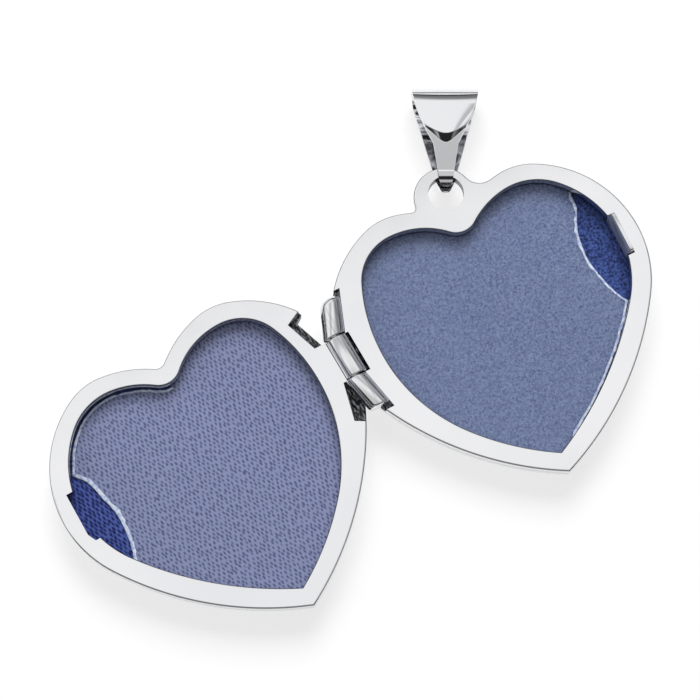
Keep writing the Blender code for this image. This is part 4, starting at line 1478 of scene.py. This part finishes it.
@dataclass(frozen=True)
class Studio:
    """White paper, an overhead white tent with a few dark gaps, and a soft key lamp."""

    azimuth: float = -27.78
    elevation: float = 78.0
    pixels: int = 700
    focal_pixels: float = 3000.0
    heart_width: float = 21.0 * MM
    heart_pixels: float = 329.7      # the heart's width in the picture
    aim_pixel: Point = (337.76, 343.19)
    key_direction: tuple[float, float, float] = (0.30, 0.56, 0.78)
    key_distance: float = 0.5
    key_size: float = 0.28
    key_power: float = 1.7

    def view_direction(self) -> Vector:
        """From the locket to the camera."""
        turn, rise = math.radians(self.azimuth), math.radians(self.elevation)
        return Vector((math.sin(turn) * math.cos(rise), -math.cos(turn) * math.cos(rise),
                       math.sin(rise)))

    def camera(self) -> None:
        """Sets up the camera at the picture's angle and framing."""
        lens = bpy.data.cameras.new("camera")
        lens.sensor_width = 36.0
        lens.lens = 36.0 * self.focal_pixels / self.pixels
        lens.shift_x = (self.pixels / 2 - self.aim_pixel[0]) / self.pixels
        lens.shift_y = (self.aim_pixel[1] - self.pixels / 2) / self.pixels
        lens.clip_start = 0.01
        made = bpy.data.objects.new("camera", lens)
        bpy.context.scene.collection.objects.link(made)
        direction = self.view_direction()
        aim = Vector((0.0, SHIFT_Y, LEVELS.rim_top))
        distance = self.focal_pixels * self.heart_width / self.heart_pixels
        made.location = aim + direction * distance
        made.rotation_euler = (-direction).to_track_quat("-Z", "Y").to_euler()
        bpy.context.scene.camera = made

    def lamp(self) -> None:
        """A soft key lamp from beyond the ear, which shades the windows' upper edges."""
        light = bpy.data.lights.new("key", "AREA")
        light.size = self.key_size
        light.energy = self.key_power
        made = bpy.data.objects.new("key", light)
        bpy.context.scene.collection.objects.link(made)
        direction = Vector(self.key_direction).normalized()
        made.location = direction * self.key_distance
        made.rotation_euler = direction.to_track_quat("Z", "Y").to_euler()
        # The metal mirrors the tent alone.
        made.visible_glossy = False

    def lean(self, tree: Tree, sideways: Socket,
             up: Socket) -> Socket:
        """How far a direction leans to one side of straight up.

        Args:
            tree: The world's tree.
            sideways: The direction's part along an axis.
            up: Its part along Z.

        Returns:
            0 at one horizon, 0.5 overhead and 1 at the other horizon.
        """
        angle = add_node(tree, "Math", {"operation": "ARCTAN2"}, {0: sideways, 1: up})
        share = add_node(tree, "MapRange", {"From Min": -math.pi / 2, "From Max": math.pi / 2},
                         {"Value": angle.outputs[0]})
        return share.outputs["Result"]

    def tent(self) -> None:
        """A white tent over the table. Its gray and dark gaps draw lines in the metal."""
        world = bpy.data.worlds.new("tent")
        bpy.context.scene.world = world
        world.use_nodes = True
        tree = world.node_tree
        tree.nodes.clear()
        ray = add_node(tree, "TexCoord").outputs["Generated"]
        split = add_node(tree, "SeparateXYZ", links={0: ray}).outputs
        lean_x = self.lean(tree, split["X"], split["Z"])
        lean_y = self.lean(tree, split["Y"], split["Z"])
        # Strips along the hinge draw the streaks on the barrels.
        strips = add_node(tree, "ValToRGB", links={"Fac": lean_x}, stops=[
            (0.02, 0.08), (0.07, 0.45), (0.12, 0.98), (0.36, 0.98), (0.40, 0.90), (0.46, 0.96),
            (0.68, 0.96), (0.75, 0.50), (0.82, 0.36), (0.89, 0.42), (0.93, 0.66), (0.97, 0.08)])
        # Gray strips before and beyond the plates' own white shade the bail's leaf and tip.
        beyond = add_node(tree, "ValToRGB", links={"Fac": lean_y}, stops=[
            (0.42, 0.66), (0.505, 0.62), (0.535, 0.97), (0.566, 1.0), (0.582, 0.56),
            (0.606, 0.56), (0.632, 0.98), (0.75, 0.98), (0.81, 0.52)])
        horizon = add_node(tree, "ValToRGB", links={"Fac": split["Z"]},
                           stops=[(0.03, 0.15), (0.14, 0.30), (0.24, 1.0)])
        toward = self.view_direction()
        flat = Vector((toward.x, toward.y, 0.0)).normalized()
        side = Vector((-flat.y, flat.x, 0.0))
        parts = [add_node(tree, "VectorMath", {"operation": "DOT_PRODUCT", 1: tuple(axis)},
                          {0: ray}).outputs["Value"] for axis in (flat, side)]
        # The dark gap over the camera draws the crescent under the bail's shield.
        before = add_node(tree, "ValToRGB",
                          links={"Fac": self.lean(tree, parts[0], split["Z"])},
                          stops=[(0.655, 1.0), (0.680, 0.03), (0.81, 0.03), (0.84, 0.75)])
        aside = add_node(tree, "Math", {"operation": "ABSOLUTE"}, {0: parts[1]})
        past = add_node(tree, "ValToRGB", links={"Fac": aside.outputs[0]},
                        stops=[(0.78, 0.0), (0.90, 1.0)])
        opening = add_node(tree, "Mix", {"data_type": "RGBA", "blend_type": "LIGHTEN", 0: 1.0},
                           {6: before.outputs["Color"], 7: past.outputs["Color"]})
        socket = strips.outputs["Color"]
        for layer in (beyond.outputs["Color"], horizon.outputs["Color"], opening.outputs[2]):
            mixed = add_node(tree, "Mix", {"data_type": "RGBA", "blend_type": "MULTIPLY", 0: 1.0},
                             {6: socket, 7: layer})
            socket = mixed.outputs[2]
        lit = add_node(tree, "Background", {"Strength": 1.0}, {"Color": socket})
        seen = add_node(tree, "Background", {"Color": gray(1.0), "Strength": 1.0})
        camera_ray = add_node(tree, "LightPath").outputs["Is Camera Ray"]
        chosen = add_node(tree, "MixShader", links={0: camera_ray, 1: lit.outputs[0],
                                                    2: seen.outputs[0]})
        add_node(tree, "OutputWorld", links={"Surface": chosen.outputs[0]})

    def paper(self) -> None:
        """The sheet of paper that the locket lies on."""
        made = bmesh.new()
        bmesh.ops.create_grid(made, x_segments=8, y_segments=8, size=0.8)
        sheet = new_object("paper", made, PaperSweep().material())
        sheet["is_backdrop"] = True

    def build(self) -> None:
        """Sets up everything round the locket."""
        self.camera()
        self.lamp()
        self.tent()
        self.paper()
        bpy.context.scene.view_settings.view_transform = "Standard"


# --- Assembly -------------------------------------------------------------------------

def pin_shift(hinge: Hinge) -> float:
    """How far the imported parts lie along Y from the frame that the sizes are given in."""
    low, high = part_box("hinge_pin")
    return (low[1] + high[1]) / 2 - sum(hinge.pin_ends()) / 2


HINGE = Hinge()
SHIFT_Y = pin_shift(HINGE)


def main() -> None:
    """Builds every piece in order, then the studio."""
    logging.basicConfig(level=logging.INFO, format="%(name)s: %(message)s")
    finishes = Finishes(PolishedRhodium().material(), DrawnRhodium().material(),
                        FiledSilver().material(), FeltCard().material(),
                        TwillCard().material(), PolyesterFilm().material(),
                        PolyesterFilm("satin_polyester_film_on_twill", "A3ACD4", "5C6594",
                                      weave=Twill()).material(),
                        SnippedFilmEdge().material(),
                        # A dark copy of the tube finish: painted shade for the edges' thin dark
                        # outlines.
                        DrawnRhodium("dulled_rhodium_edge", "626468", "2C2D30",
                                     0.30).material(),
                        # A darker copy of the tube finish: painted shade for the catch tab's inner
                        # face.
                        DrawnRhodium("brushed_rhodium_tab", "D2D3D6", "8C8D91",
                                     0.42).material())
    catch = Catch()
    back_snips = ((8.1, 3.6), (7.55, 2.6), (7.50, 1.6), (7.10, 0.65), (6.87, -0.3),
                  (6.80, -1.8), (7.12, -3.2), (7.50, -4.25), (7.85, -4.95), (8.3, -5.6))
    front_snips = ((8.9, 1.7), (8.34, 1.1), (7.80, 0.25), (7.56, -1.0), (7.32, -2.4),
                   (7.46, -3.8), (7.75, -5.0), (8.2, -5.9))
    HalfLocket(Half.BACK, "felt_card", back_snips, (-12.4, -4.6),
               0.03 * MM, 0.22 * MM).build(finishes, HINGE, catch)
    HalfLocket(Half.FRONT, "twill_card", front_snips, (-0.4, 5.2),
               0.09 * MM, 0.30 * MM).build(finishes, HINGE, catch)
    HINGE.build(finishes)
    catch.build(finishes)
    Bail().build(finishes)
    Studio().build()
    boxes = [[list(corner) for corner in box] for box in (CAD_BOX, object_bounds())]
    LOG.info("boxes: %s", boxes)


if __name__ == "__main__":
    main()
